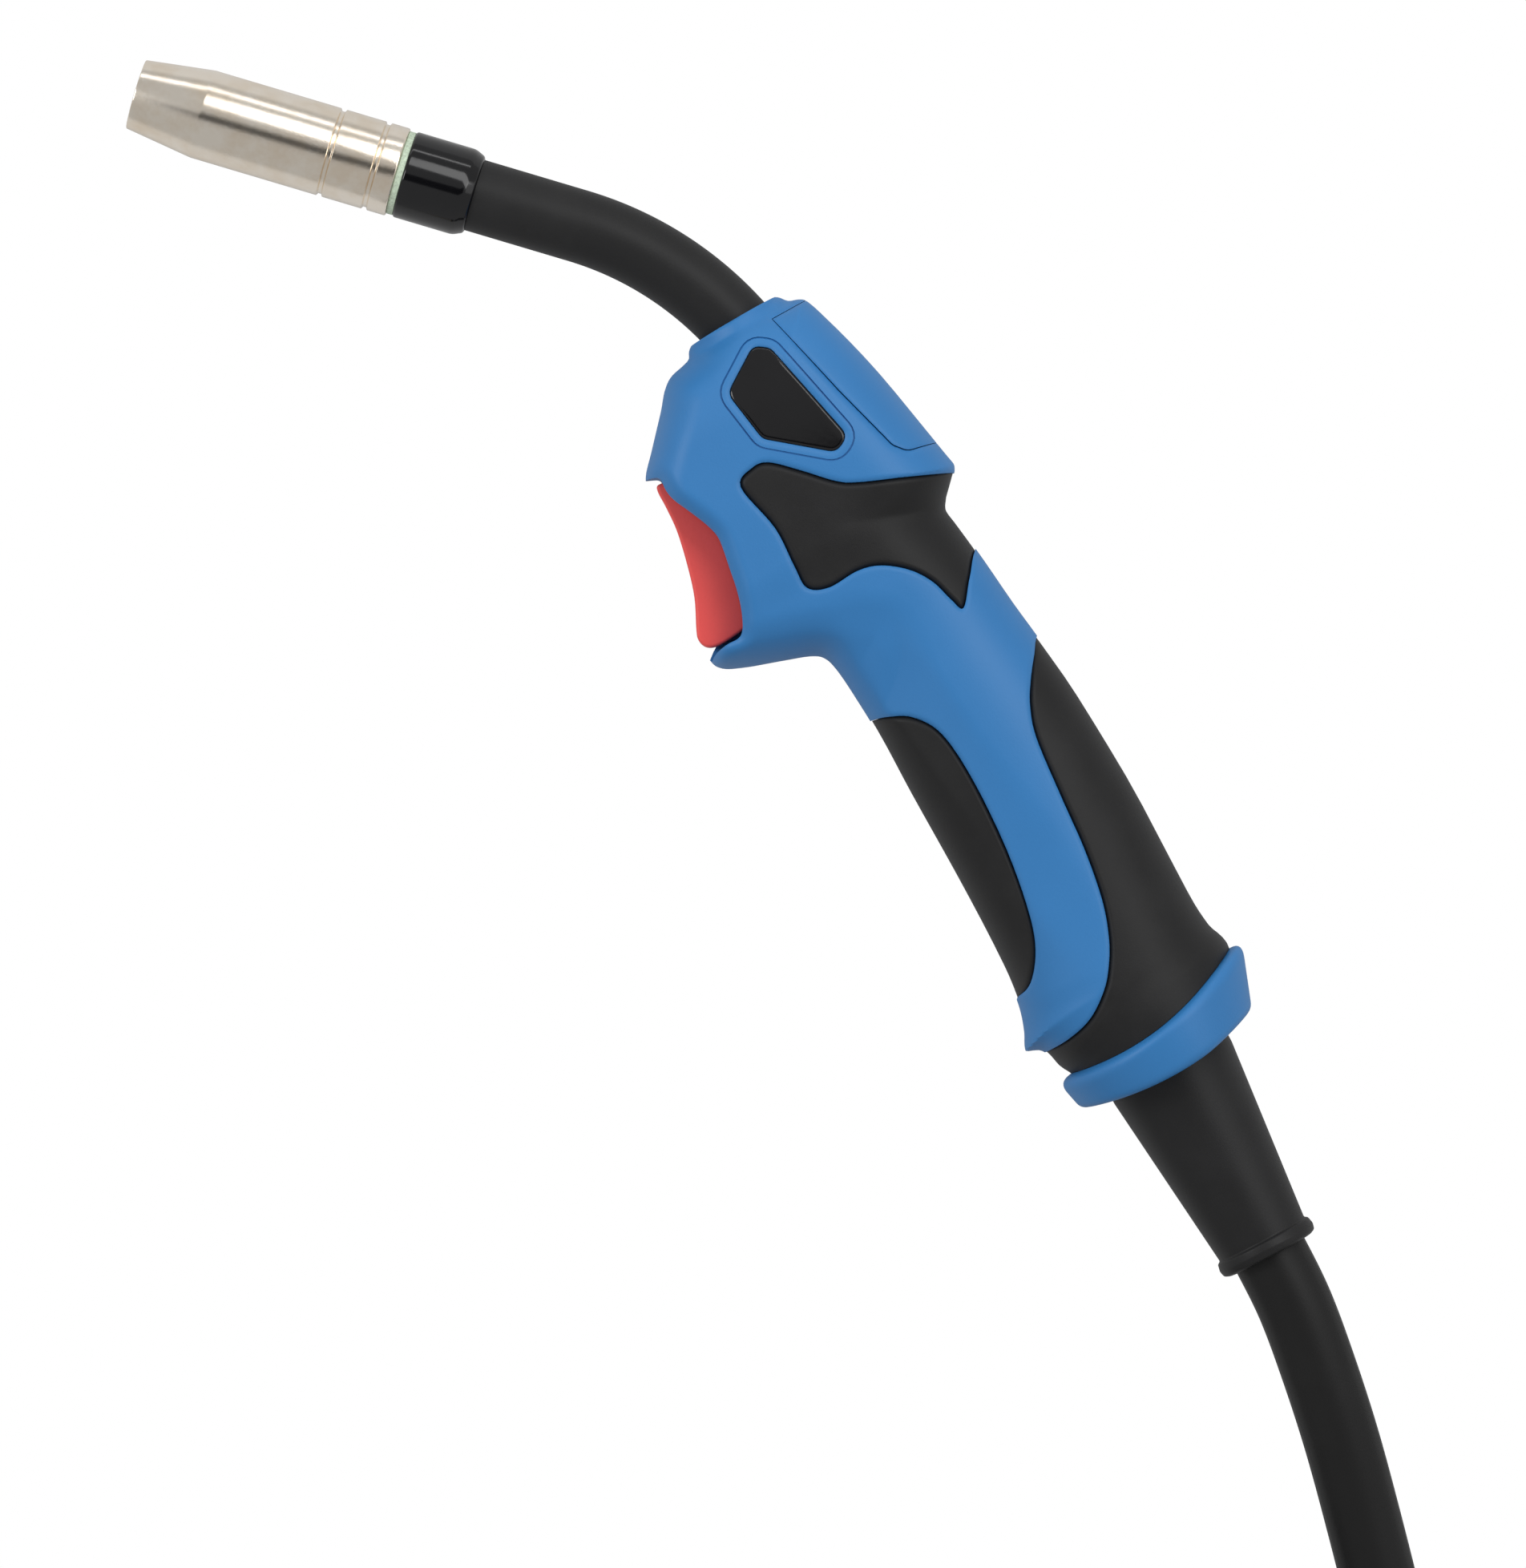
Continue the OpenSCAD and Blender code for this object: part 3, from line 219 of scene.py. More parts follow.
def rings(x, y, turn, radius, count=64):
    """Rings round a flat line, from the way that it heads at each of its places."""
    k = np.linspace(0, 2 * math.pi, count + 1)
    x, y, turn = (np.asarray(v, float)[:, None] for v in (x, y, turn))
    out, up = radius * np.cos(k), radius * np.sin(k)
    return np.stack(np.broadcast_arrays(x + out * np.sin(turn), y + out * np.cos(turn), up), 2)


def offset(outline, by):
    """An outline moved outwards by a distance."""
    p = np.asarray(outline, float)
    area = np.sum(p[:, 0] * np.roll(p[:, 1], -1) - np.roll(p[:, 0], -1) * p[:, 1])
    run = np.roll(p, -1, 0) - np.roll(p, 1, 0)
    run /= np.linalg.norm(run, axis=1)[:, None]
    return p + np.stack([run[:, 1], -run[:, 0]], 1) * (by if area > 0 else -by)


def gap_to(places, line):
    """Distance of places from a line of points."""
    gap = np.full(places.shape[:-1], np.inf)
    for start, end in zip(line, line[1:]):
        ahead, away = end - start, places - start
        share = np.clip(away @ ahead / max(ahead @ ahead, 1e-12), 0, 1)
        gap = np.minimum(gap, np.linalg.norm(away - share[..., None] * ahead, axis=-1))
    return gap


def depth_inside(places, outline):
    """How far places lie inside a closed outline, below zero outside it."""
    closed = np.concatenate([outline, outline[:1]])
    x, y = places[..., 0], places[..., 1]
    odd = np.zeros(x.shape, bool)
    for (x0, y0), (x1, y1) in zip(closed, closed[1:]):
        if y0 != y1:
            odd ^= ((y0 > y) != (y1 > y)) & (x < (x1 - x0) * (y - y0) / (y1 - y0) + x0)
    return gap_to(places, closed) * np.where(odd, 1, -1)


def step(low, high, value):
    """Eases from 0 to 1 between two values."""
    w = np.clip((value - low) / (high - low), 0, 1)
    return w * w * (3 - 2 * w)


def lowered(gap, depth, width):
    """How far a surface has dropped towards an edge, which it passes without a break."""
    return depth * np.clip(1 - gap / width, 0, 1.6) ** 2


def swell(gap, radius, power):
    """Share of the full thickness at a distance inside a rounded edge."""
    w = 1 - np.clip(gap / radius, 0, 1)
    return (1 - w**power) ** (1 / power)


def lesser(a, b, blend):
    """The lesser of two heights, blended where they meet."""
    w = np.clip(0.5 + 0.5 * (b - a) / blend, 0, 1)
    return b * (1 - w) + a * w - blend * w * (1 - w)


def eased(x, y, at):
    """A curve through given values that never overshoots them."""
    h, d = np.diff(x), np.diff(y) / np.diff(x)
    m = np.zeros(len(y))
    with np.errstate(divide="ignore", invalid="ignore"):
        w1, w2 = 2 * h[1:] + h[:-1], h[1:] + 2 * h[:-1]
        m[1:-1] = np.where(d[:-1] * d[1:] > 0, (w1 + w2) / (w1 / d[:-1] + w2 / d[1:]), 0)
    m[0], m[-1] = d[0], d[-1]
    at = np.clip(at, x[0], x[-1])
    i = np.clip(np.searchsorted(x, at) - 1, 0, len(x) - 2)
    u = (at - x[i]) / h[i]
    return (
        (1 + 2 * u) * (1 - u) ** 2 * y[i] + u * (1 - u) ** 2 * h[i] * m[i]
        + u * u * (3 - 2 * u) * y[i + 1] + u * u * (u - 1) * h[i] * m[i + 1]
    )


def edge_line(points, steps=4):
    """An edge of the handle, with eased places between its points."""
    x, y = np.array(points, float).T
    fine = np.interp(np.arange((len(x) - 1) * steps + 1) / steps, np.arange(len(x)), x)
    return np.column_stack([fine, eased(x, y, fine)])


def shifted(line, by):
    """An edge of the handle moved across itself, as values to look up."""
    run = np.gradient(line, axis=0)
    run /= np.linalg.norm(run, axis=1)[:, None]
    x, y = line[:, 0] - run[:, 1] * by, line[:, 1] + run[:, 0] * by
    return np.maximum.accumulate(x) + np.arange(len(x)) * 1e-6, y


FRONT_LINE, BACK_LINE = edge_line(FRONT), edge_line(BACK, 3)
THUMB_LINE, FINGER_LINE, PALM_LINE = through(THUMB), through(FINGER), through(PALM)
COVER_LINE, BADGE_LINE = softened(COVER), softened(BADGE)
UNDER_HOOK, ALONG_GRIP = np.array(FOLD[:7]), np.array(FOLD[6:])
FOLD_LINE = np.concatenate([through(FOLD, 5, False), [(140, -FAR), (36, -FAR)]])


def folded(places, z, thick):
    """Folds the flat side down to the front of the grip, and hollows the thumb's rest."""
    s, t = places[..., 0], places[..., 1]
    slope = 0.42 - 0.28 * step(60, 105, s)
    crease = 1.4 - 0.9 * step(52, 66, s)
    deep = depth_inside(places, FOLD_LINE)
    bend = 16
    nearer = (gap_to(places, UNDER_HOOK) - gap_to(places, ALONG_GRIP)) / bend
    nearer = np.clip(0.5 + nearer, 0, 1)
    deep = deep - bend / 2 * nearer * (1 - nearer) * step(0, 7, deep)
    z = lesser(z, 0.985 * thick - slope * deep, crease)
    ahead, behind, hollow = 18, 9, 0.15
    across = s - np.interp(t, *np.array(VALLEY).T)
    away = np.hypot(np.where(across > 0, across / ahead, across / behind), 0.05)
    return z * (1 - hollow * step(-7, 12, t) * np.clip(1 - away, 0, 1) ** 2)


def run_along(x, y):
    """How far along a line each of its places lies."""
    return np.concatenate([[0], np.cumsum(np.hypot(np.diff(x), np.diff(y)))])


@functools.cache
def handle_side(first, last, pitch, grow=0.0, front=-99.0, plain=False):
    """Rows over the handle's left half, back to front, and closer where the front is steep."""
    ahead, behind = shifted(FRONT_LINE, -grow), shifted(BACK_LINE, grow)
    fine = np.linspace(first, last, 4000)
    run = run_along(fine, 0.5 * np.interp(fine, *ahead))
    s = np.interp(np.linspace(0, run[-1], int(run[-1] / pitch) + 2), run, fine)[:, None]
    f, b = np.maximum(np.interp(s, *ahead), front), np.interp(s, *behind)
    share = (1 - np.cos(np.linspace(0, math.pi, 181))) / 2
    t = b + (f - b) * share
    places = np.stack(np.broadcast_arrays(s, t), 2)
    thick, soft_f, soft_b, power = (eased(FORM[:, 0], FORM[:, k], s) for k in (1, 2, 3, 4))
    thick = thick + grow
    from_f = gap_to(places, FRONT_LINE) * np.where(t > np.interp(s, *FRONT_LINE.T), 1, -1) + grow
    from_b = gap_to(places, BACK_LINE) * np.where(t < np.interp(s, *BACK_LINE.T), 1, -1) + grow
    z = thick * swell(from_f, soft_f + grow, power) * swell(from_b, soft_b + grow, power)
    if not plain:
        z = folded(places, z, thick)
    z = np.maximum(z, 0.03)
    z[:, [0, -1]] = 0
    longest = 64
    rows = np.empty((len(s), int(longest / pitch), 3))
    for i in range(len(s)):
        run = run_along(t[i], z[i])
        at = np.linspace(0, run[-1], rows.shape[1])
        rows[i, :, 0] = s[i, 0]
        rows[i, :, 1] = np.interp(at, run, t[i])
        rows[i, :, 2] = np.interp(at, run, z[i])
    return rows


def sunk(rows, by):
    """Rows lowered towards the handle's middle, and never past it."""
    z = rows[..., 2]
    return np.dstack([rows[..., :2], np.maximum(z - by, 0.05 * z)])


def parted(rows):
    """Rows drawn in a little along the line where the handle's halves meet."""
    deep, wide = 0.18, 0.35
    t, z = rows[..., 1], rows[..., 2]
    inwards = np.sign(t.mean(1, keepdims=True) - t)
    return np.dstack([rows[..., 0], t + inwards * deep * np.clip(1 - z / wide, 0, 1), z])


def coil_radius(angle):
    """Radius of the stored coil, which winds inwards on the floor and out again on top."""
    pitch, ease = size("cable_diameter") + COIL_PLAY, 30
    return size("coil_radius") + pitch * (np.hypot(angle - COIL_HALF, ease) - ease) / 360


# Modelling

def alone(piece):
    """Leaves one piece selected and active."""
    bpy.ops.object.select_all(action="DESELECT")
    piece.select_set(True)
    bpy.context.view_layer.objects.active = piece


def in_edit(piece, *steps):
    """Runs steps in edit mode with all of the piece selected."""
    alone(piece)
    bpy.ops.object.mode_set(mode="EDIT")
    bpy.ops.mesh.select_all(action="SELECT")
    for run in steps:
        run()
    bpy.ops.object.mode_set(mode="OBJECT")


def face_out():
    """Turns all faces outwards."""
    bpy.ops.mesh.select_all(action="SELECT")
    bpy.ops.mesh.normals_make_consistent(inside=False)


def close_up():
    """Merges seams, caps open ends and turns faces outwards."""
    bpy.ops.mesh.select_all(action="SELECT")
    bpy.ops.mesh.remove_doubles(threshold=1e-7)
    bpy.ops.mesh.fill_holes(sides=0)
    face_out()


def raised(by):
    """A step that extrudes what is selected."""
    move = {"value": Vector(by) * MM}
    return lambda: bpy.ops.mesh.extrude_region_move(TRANSFORM_OT_translate=move)


def primitive(kind, name, **sizes):
    """A new mesh primitive with a name."""
    bpy.ops.object.select_all(action="DESELECT")
    getattr(bpy.ops.mesh, f"primitive_{kind}_add")(**sizes)
    piece = bpy.context.object
    piece.name = piece.data.name = name
    return piece


def shaped(piece, places):
    """Moves a piece's corners to places in millimetres."""
    piece.data.vertices.foreach_set("co", (places * MM).astype(np.float32).ravel())
    return piece


def sheet(name, rows):
    """A grid primitive moved to rows of places."""
    count, across = rows.shape[:2]
    piece = primitive("grid", name, x_subdivisions=across - 1, y_subdivisions=count - 1, size=2)
    start = np.empty(len(piece.data.vertices) * 3, np.float32)
    piece.data.vertices.foreach_get("co", start)
    at = (start.reshape(-1, 3) + 1) / 2
    row = np.rint(at[:, 1] * (count - 1)).astype(int)
    column = np.rint(at[:, 0] * (across - 1)).astype(int)
    return shaped(piece, rows[row, column])


def woven(name, rows):
    """A solid of rows of places, closed at its seams and ends."""
    piece = sheet(name, rows)
    in_edit(
        piece,
        close_up,
        lambda: bpy.ops.mesh.select_all(action="DESELECT"),
        bpy.ops.mesh.select_non_manifold,
    )
    if any(v.select for v in piece.data.vertices):
        raise RuntimeError(f"{name} isn't closed")
    return piece


def looped(rows):
    """Rows whose last place meets their first."""
    return np.concatenate([rows, rows[:, :1]], axis=1)


def half_solid(name, rows, side=1):
    """A solid from rows over one half of the handle, flat along the parting line."""
    return woven(name, looped((rows + (0, 0, 0.04)) * (1, 1, side)))


def round_solid(name, rows):
    """A solid from rows over one half of the handle and their mirror image."""
    other = rows[:, -2:0:-1] * (1, 1, -1)
    return woven(name, looped(np.concatenate([rows, other], axis=1)))


def prism(name, outline, low=-FAR, high=FAR):
    """An outline drawn from a circle and extruded upwards."""
    piece = primitive("circle", name, vertices=len(outline), fill_type="NGON")
    shaped(piece, np.column_stack([outline, np.full(len(outline), low)]))
    in_edit(piece, raised((0, 0, high - low)), face_out)
    return piece


def put(piece, place):
    """Moves a piece from its own axes to the part's, in its mesh."""
    alone(piece)
    piece.matrix_world = place
    bpy.ops.object.transform_apply(location=True, rotation=True, scale=True)


def spun(name, outline):
    """A closed outline of places along and away from an axis, spun round that axis."""
    piece = primitive("circle", name, vertices=len(outline), fill_type="NOTHING")
    shaped(piece, np.column_stack([outline, np.zeros(len(outline))]))
    in_edit(
        piece,
        lambda: bpy.ops.mesh.spin(steps=128, angle=2 * math.pi, center=(0, 0, 0), axis=(1, 0, 0)),
        close_up,
    )
    return piece


def tube(name, line, thick, fine):
    """A round curve through places in metres, with a thickness in millimetres."""
    curve = bpy.data.curves.new(name, "CURVE")
    curve.dimensions = "3D"
    curve.bevel_depth = thick * MM / 2
    curve.bevel_resolution = fine
    curve.resolution_u = 4
    curve.use_fill_caps = True
    spline = curve.splines.new("BEZIER")
    spline.bezier_points.add(len(line) - 1)
    spline.bezier_points.foreach_set("co", line.astype(np.float32).ravel())
    for point in spline.bezier_points:
        point.handle_left_type = "AUTO"
        point.handle_right_type = "AUTO"
    piece = bpy.data.objects.new(name, curve)
    bpy.context.scene.collection.objects.link(piece)
    return piece


def cut(piece, tool, way="DIFFERENCE"):
    """Cuts a piece with another, which is then removed."""
    alone(piece)
    change = piece.modifiers.new("cut", "BOOLEAN")
    change.operation, change.solver, change.object = way, "MANIFOLD", tool
    bpy.ops.object.modifier_apply(modifier=change.name)
    if not piece.data.polygons:
        raise RuntimeError(f"nothing was left of {piece.name}")
    bpy.data.objects.remove(tool)


def finished(piece, body, slot, *nodes, place=None):
    """Puts a piece in place, gives it its finish and its body, and hides the CAD nodes it stands for.
    """
    if place:
        put(piece, place)
    if piece.type == "MESH":
        alone(piece)
        bpy.ops.object.shade_smooth_by_angle(angle=CRISP)
    piece.data.materials.clear()
    piece.data.materials.append(finish_of(slot))
    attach(piece, body)
    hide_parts(*nodes)


# Materials

class Flow:
    """A socket of a material. Signs between flows add the Math nodes that work them out."""

    def __init__(self, tree, socket=None):
        self.tree = tree
        self.socket = socket

    def add(self, kind, settings=None, sockets=None, out=0):
        """Adds a node of any kind, with its settings and its sockets, and gives an output."""
        node = self.tree.nodes.new(kind)
        for name, value in (settings or {}).items():
            setattr(node, name, value)
        for name, value in (sockets or {}).items():
            if isinstance(value, Flow):
                self.tree.links.new(value.socket, node.inputs[name])
            else:
                node.inputs[name].default_value = value
        return Flow(self.tree, node.outputs[out])

    def maths(self, way, a, b):
        return self.add("ShaderNodeMath", {"operation": way}, {0: a, 1: b})

    def __add__(self, other):
        return self.maths("ADD", self, other)

    __radd__ = __add__

    def __mul__(self, other):
        return self.maths("MULTIPLY", self, other)

    def clamped(self, low, high):
        """This value mapped from low to high onto 0 to 1, and held there."""
        sockets = {"Value": self, "From Min": low, "From Max": high}
        return self.add("ShaderNodeMapRange", {"clamp": True}, sockets)

    def blend(self, first, second):
        """A colour between two, by this share."""
        sockets = {"Factor": self, 6: first, 7: second}
        return self.add("ShaderNodeMix", {"data_type": "RGBA"}, sockets, 2)

    def noise(self, grain, detail=3.0, rough=0.55, stretch=(1, 1, 1)):
        """Cloudy noise over these places, with grains of a size in metres."""
        where = self.add("ShaderNodeMapping", None, {"Vector": self, "Scale": stretch})
        sockets = {"Vector": where, "Scale": 1 / grain, "Detail": detail, "Roughness": rough}
        return self.add("ShaderNodeTexNoise", None, sockets)


def shade(colour, by=1.0):
    """A colour made lighter or darker, as a socket takes it."""
    return (*[min(1.0, c * by) for c in colour], 1.0)


class Finish:
    """A material in the making, with the places that its patterns read."""

    def __init__(self, name, colour, roughness, metallic=0.0, **constants):
        self.colour = colour
        self.material = bpy.data.materials.new(name)
        self.material.use_nodes = True
        self.tree = self.material.node_tree
        self.shader = self.tree.nodes["Principled BSDF"]
        constants |= {"Base Color": shade(colour), "Roughness": roughness, "Metallic": metallic}
        for socket, value in constants.items():
            self.shader.inputs[socket.replace("_", " ")].default_value = value
        self.places = Flow(self.tree).add("ShaderNodeTexCoord", out="Object")

    def feed(self, socket, flow):
        self.tree.links.new(flow.socket, self.shader.inputs[socket])

    def tones(self, share, low, high):
        """The finish's colour from a darker to a lighter tone of it, by a share."""
        dark, light = (shade(self.colour, by) for by in (low, high))
        self.feed("Base Color", share.blend(dark, light))

    def relief(self, height, depth):
        """Bumps of a depth in metres."""
        sockets = {"Height": height, "Distance": depth}
        self.feed("Normal", height.add("ShaderNodeBump", None, sockets))


def moulded(name, colour, roughness, tone=0.05, grain=0.00045, depth=0.00002):
    """Moulded plastic with a fine spark texture and faint clouds of tone."""
    f = Finish(name, colour, roughness)
    cloud = f.places.noise(0.022, 4)
    fine = f.places.noise(grain, 2)
    share = (cloud * 0.7 + fine * 0.3).clamped(0.3, 0.7)
    f.tones(share, 1 - tone, 1 + tone)
    f.feed("Roughness", roughness - 0.05 + cloud * 0.1)
    f.relief(fine, depth)
    return f.material


def rubber(name, colour, roughness, bloom=0.5):
    """Dull rubber with a pale bloom in soft patches, a few scuffs and a fine grain."""
    f = Finish(name, colour, roughness, IOR=1.35)
    cloud = f.places.noise(0.02, 5, 0.6)
    fine = f.places.noise(0.0005, 2)
    scuff = f.places.noise(0.006, 6, 0.7, (1, 2.5, 1)).clamped(0.66, 0.74)
    patch = cloud.clamped(0.45, 0.78) * bloom + fine * 0.12 + scuff * 0.25
    f.tones(patch, 0.85, 1.9)
    f.feed("Roughness", roughness - 0.06 + cloud * 0.14)
    f.relief(fine, 0.000018)
    return f.material


def plated(name, colour, roughness, grain=0.0003, depth=0.000008):
    """Plated metal with the fine grain of the blank under it and faint warm staining."""
    f = Finish(name, colour, roughness, 1.0)
    stain = f.places.noise(0.009, 5, 0.62)
    fine = f.places.noise(grain, 3, 0.7)
    warm = (colour[0] * 0.9, colour[1] * 0.84, colour[2] * 0.76)
    f.feed("Base Color", stain.clamped(0.42, 0.72).blend(shade(colour), shade(warm)))
    f.feed("Roughness", roughness - 0.05 + fine * 0.06 + stain * 0.06)
    f.relief(fine, depth)
    return f.material


def fibre(name, colour):
    """Pressed glass fibre with pale flecks."""
    f = Finish(name, colour, 0.7)
    fleck = f.places.noise(0.0006, 3, 0.7)
    f.tones(fleck.clamped(0.35, 0.65), 0.78, 1.18)
    f.relief(fleck, 0.00006)
    return f.material


def lacquered(name, colour):
    """Glossy lacquer with hair-fine scuffs."""
    roughness = 0.12
    f = Finish(name, colour, roughness)
    cloud = f.places.noise(0.012, 4)
    scuff = f.places.noise(0.0007, 3, 0.6, (1, 14, 1))
    f.tones(cloud.clamped(0.3, 0.7), 0.85, 1.2)
    f.feed("Roughness", roughness + scuff.clamped(0.6, 0.8) * 0.12)
    f.relief(cloud, 0.00004)
    return f.material


def webbing(name, colour):
    """Woven strap with its threads crossing at right angles."""
    f = Finish(name, colour, 0.85, Sheen_Weight=0.25)

    def threads(way, scale):
        sockets = {"Vector": f.places, "Scale": scale}
        return f.places.add("ShaderNodeTexWave", {"bands_direction": way}, sockets)

    weave = f.places.maths("MAXIMUM", threads("Z", 700.0), threads("DIAGONAL", 420.0))
    fluff = f.places.noise(0.002, 4)
    f.tones(weave * 0.7 + fluff * 0.3, 0.55, 1.3)
    f.relief(weave, 0.00012)
    return f.material


# Sizes and colours

def length(name, description, default):
    return bpy.props.FloatProperty(
        name=name, description=description, default=default * MM, min=0, unit="LENGTH"
    )


def colour(name, description, default):
    return bpy.props.FloatVectorProperty(
        name=name, description=description, default=default, size=3, min=0, max=1, subtype="COLOR"
    )


class TorchSizes(bpy.types.PropertyGroup):
    """Sizes of the torch's visible pieces."""

    nozzle_length: length("Nozzle length", "Length of the gas nozzle", 53)
    nozzle_diameter: length("Nozzle diameter", "Outer diameter of the gas nozzle", 17.6)
    mouth_diameter: length("Mouth diameter", "Outer diameter at the nozzle's mouth", 13.8)
    ferrule_diameter: length("Ferrule diameter", "Diameter of the glossy ferrule", 17.2)
    neck_diameter: length("Neck diameter", "Diameter of the neck's sleeve", 14.2)
    neck_radius: length("Neck radius", "Radius of the neck's bend", 67)
    pad_sink: length("Pad sink", "How far the rubber pads lie below the shells", 0.3)
    pad_groove: length("Pad groove", "Width of the groove round each rubber pad", 1.1)
    edge_depth: length("Edge depth", "Drop of the shells' moulded edges", 0.4)
    trigger_width: length("Trigger width", "Width of the trigger", 12)
    trigger_edge: length("Trigger edge", "Radius of the trigger's edges", 1.6)
    collar_diameter: length("Collar diameter", "Diameter of the rear collar", 43.6)
    boot_diameter: length("Boot diameter", "Diameter of the cable's boot at the collar", 25.8)
    cable_diameter: length("Cable diameter", "Diameter of the power cable", 14.8)
    coil_radius: length("Coil radius", "Smallest radius of the stored coil", 60)
    tie_width: length("Tie width", "Width of the coil's ties", 20)


class TorchColours(bpy.types.PropertyGroup):
    """Colours of the torch's finishes."""

    blue: colour("Blue", "Moulded handle, collar and cover", (0.03, 0.21, 0.53))
    grip: colour("Grip", "Rubber pads on the handle", (0.0145, 0.0145, 0.015))
    red: colour("Red", "Trigger", (0.98, 0.1, 0.09))
    nickel: colour("Nickel", "Plating of the gas nozzle", (0.93, 0.855, 0.75))
    green: colour("Green", "Insulating ring behind the nozzle", (0.62, 0.75, 0.58))
    gloss: colour("Gloss black", "Ferrule and badge plate", (0.004, 0.004, 0.005))
    sleeve: colour("Sleeve black", "Sleeve of the neck", (0.017, 0.017, 0.0175))
    cable: colour("Cable black", "Power cable", (0.011, 0.011, 0.011))
    boot: colour("Boot black", "Boots at the cable's ends", (0.016, 0.016, 0.0165))
    plug: colour("Plug black", "Connector's housing and nut", (0.02, 0.02, 0.021))
    brass: colour("Brass", "Fittings in the neck and the connector", (0.72, 0.53, 0.24))
    copper: colour("Copper", "Contact tip and cable crimp", (0.78, 0.38, 0.2))
    steel: colour("Steel", "Screws, pin and springs", (0.55, 0.56, 0.57))


def size(name):
    """One of the torch's sizes, in millimetres."""
    return getattr(bpy.context.scene.torch_sizes, name) / MM


@functools.cache
def finish_of(slot):
    """The torch's finishes, each made once."""
    c = bpy.context.scene.torch_colours
    make, *values = {
        "blue_plastic": (moulded, c.blue, 0.5, 0.035),
        "red_plastic": (moulded, c.red, 0.48, 0.04, 0.0006, 0.00003),
        "grip_rubber": (rubber, c.grip, 0.52),
        "nickel": (plated, c.nickel, 0.2, 0.0004, 0.000016),
        "brass": (plated, c.brass, 0.3),
        "copper": (plated, c.copper, 0.3),
        "steel": (plated, c.steel, 0.3),
        "spring_steel": (plated, c.steel, 0.25),
        "green_plastic": (fibre, c.green),
        "gloss_black": (lacquered, c.gloss),
        "sleeve_black": (rubber, c.sleeve, 0.5, 0.4),
        "boot_rubber": (rubber, c.boot, 0.46, 0.35),
        "cable_rubber": (rubber, c.cable, 0.48, 0.3),
        "plug_black": (moulded, c.plug, 0.45, 0.12),
        "switch_black": (moulded, c.plug, 0.5, 0.1),
        "plunger": (moulded, (0.7, 0.66, 0.55), 0.5),
        "liner": (moulded, (0.75, 0.7, 0.6), 0.5),
        "wire": (moulded, (0.12, 0.14, 0.17), 0.45, 0.1),
        "strap": (webbing, (0.03, 0.03, 0.033)),
    }[slot]
    return make(slot, *values)


# Pieces

class TORCH_OT_stage(bpy.types.Operator):
    """Camera over the torch's left side, soft lights, pale floor, dark card for the nozzle"""

    bl_idname = "torch.stage"
    bl_label = "Stage"

    def execute(self, context):
        scene = context.scene
        turn = math.radians(16.6)
        camera = bpy.data.objects.new("camera", bpy.data.cameras.new("camera"))
        scene.collection.objects.link(camera)
        camera.data.lens = 283.75
        camera.location = (0.013815, -0.018133, 2.4202)
        camera.rotation_euler = (0, 0, turn)
        scene.camera = camera
        scene.view_settings.view_transform = "Standard"

        middle = Vector((0.014, -0.018, 0.02))
        for name, across, along, high, wide, deep, power in (
            ("key", 0.4, 0.5, 0.9, 1.06, 0.42, 4.2),
            ("low", 0.0, 1.0, 0.34, 1.2, 0.06, 0.9),
            ("left", -0.9, 0.3, 0.75, 0.4, 0.5, 3.6),
            ("side", 0.85, 0.1, 0.6, 0.5, 0.7, 0.8),
        ):
            lamp = bpy.data.objects.new(name, bpy.data.lights.new(name, "AREA"))
            lamp.data.shape = "RECTANGLE"
            lamp.data.size = wide
            lamp.data.size_y = deep
            lamp.data.energy = power
            lamp.location = middle + Matrix.Rotation(turn, 3, "Z") @ Vector((across, along, high))
            lamp.rotation_euler = (middle - lamp.location).to_track_quat("-Z", "Y").to_euler()
            scene.collection.objects.link(lamp)

        room_light, mirrored = 0.45, 0.2
        world = bpy.data.worlds.new("studio")
        world.use_nodes = True
        scene.world = world
        sky = world.node_tree.nodes["Background"]
        sky.inputs["Color"].default_value = (1, 1, 1, 1)
        seen = Flow(world.node_tree).add("ShaderNodeLightPath", out="Is Camera Ray")
        strength = seen * (1 - room_light) + room_light
        world.node_tree.links.new(strength.socket, sky.inputs["Strength"])

        floor = primitive("circle", "floor", vertices=64, radius=9, fill_type="NGON")
        in_edit(floor, lambda: bpy.ops.mesh.inset(thickness=6, depth=0))
        white = Finish("floor_white", (0.6, 0.6, 0.6), 0.9)
        start = Flow(white.tree)
        camera_ray, glossy_ray, glass_ray = (
            start.add("ShaderNodeLightPath", out=f"Is {kind} Ray")
            for kind in ("Camera", "Glossy", "Transmission")
        )
        share = (camera_ray + glossy_ray * mirrored + glass_ray).clamped(0, 1)
        glow = start.add("ShaderNodeEmission", None, {"Color": (1, 1, 1, 1), "Strength": 1.0})
        own = Flow(white.tree, white.shader.outputs[0])
        mixed = start.add("ShaderNodeMixShader", None, {0: share, 1: own, 2: glow})
        white.tree.links.new(mixed.socket, white.tree.nodes["Material Output"].inputs["Surface"])
        floor.data.materials.append(white.material)

        card = primitive("plane", "dark_card", size=1)
        card.visible_camera = False
        black = Finish("card_black", (0.03, 0.03, 0.03), 0.9)
        card.data.materials.append(black.material)
        put(card, Matrix.LocRotScale((0, -0.2, 2.7), Matrix.Rotation(turn, 3, "Z"), (2.4, 0.8, 1)))
        return {"FINISHED"}


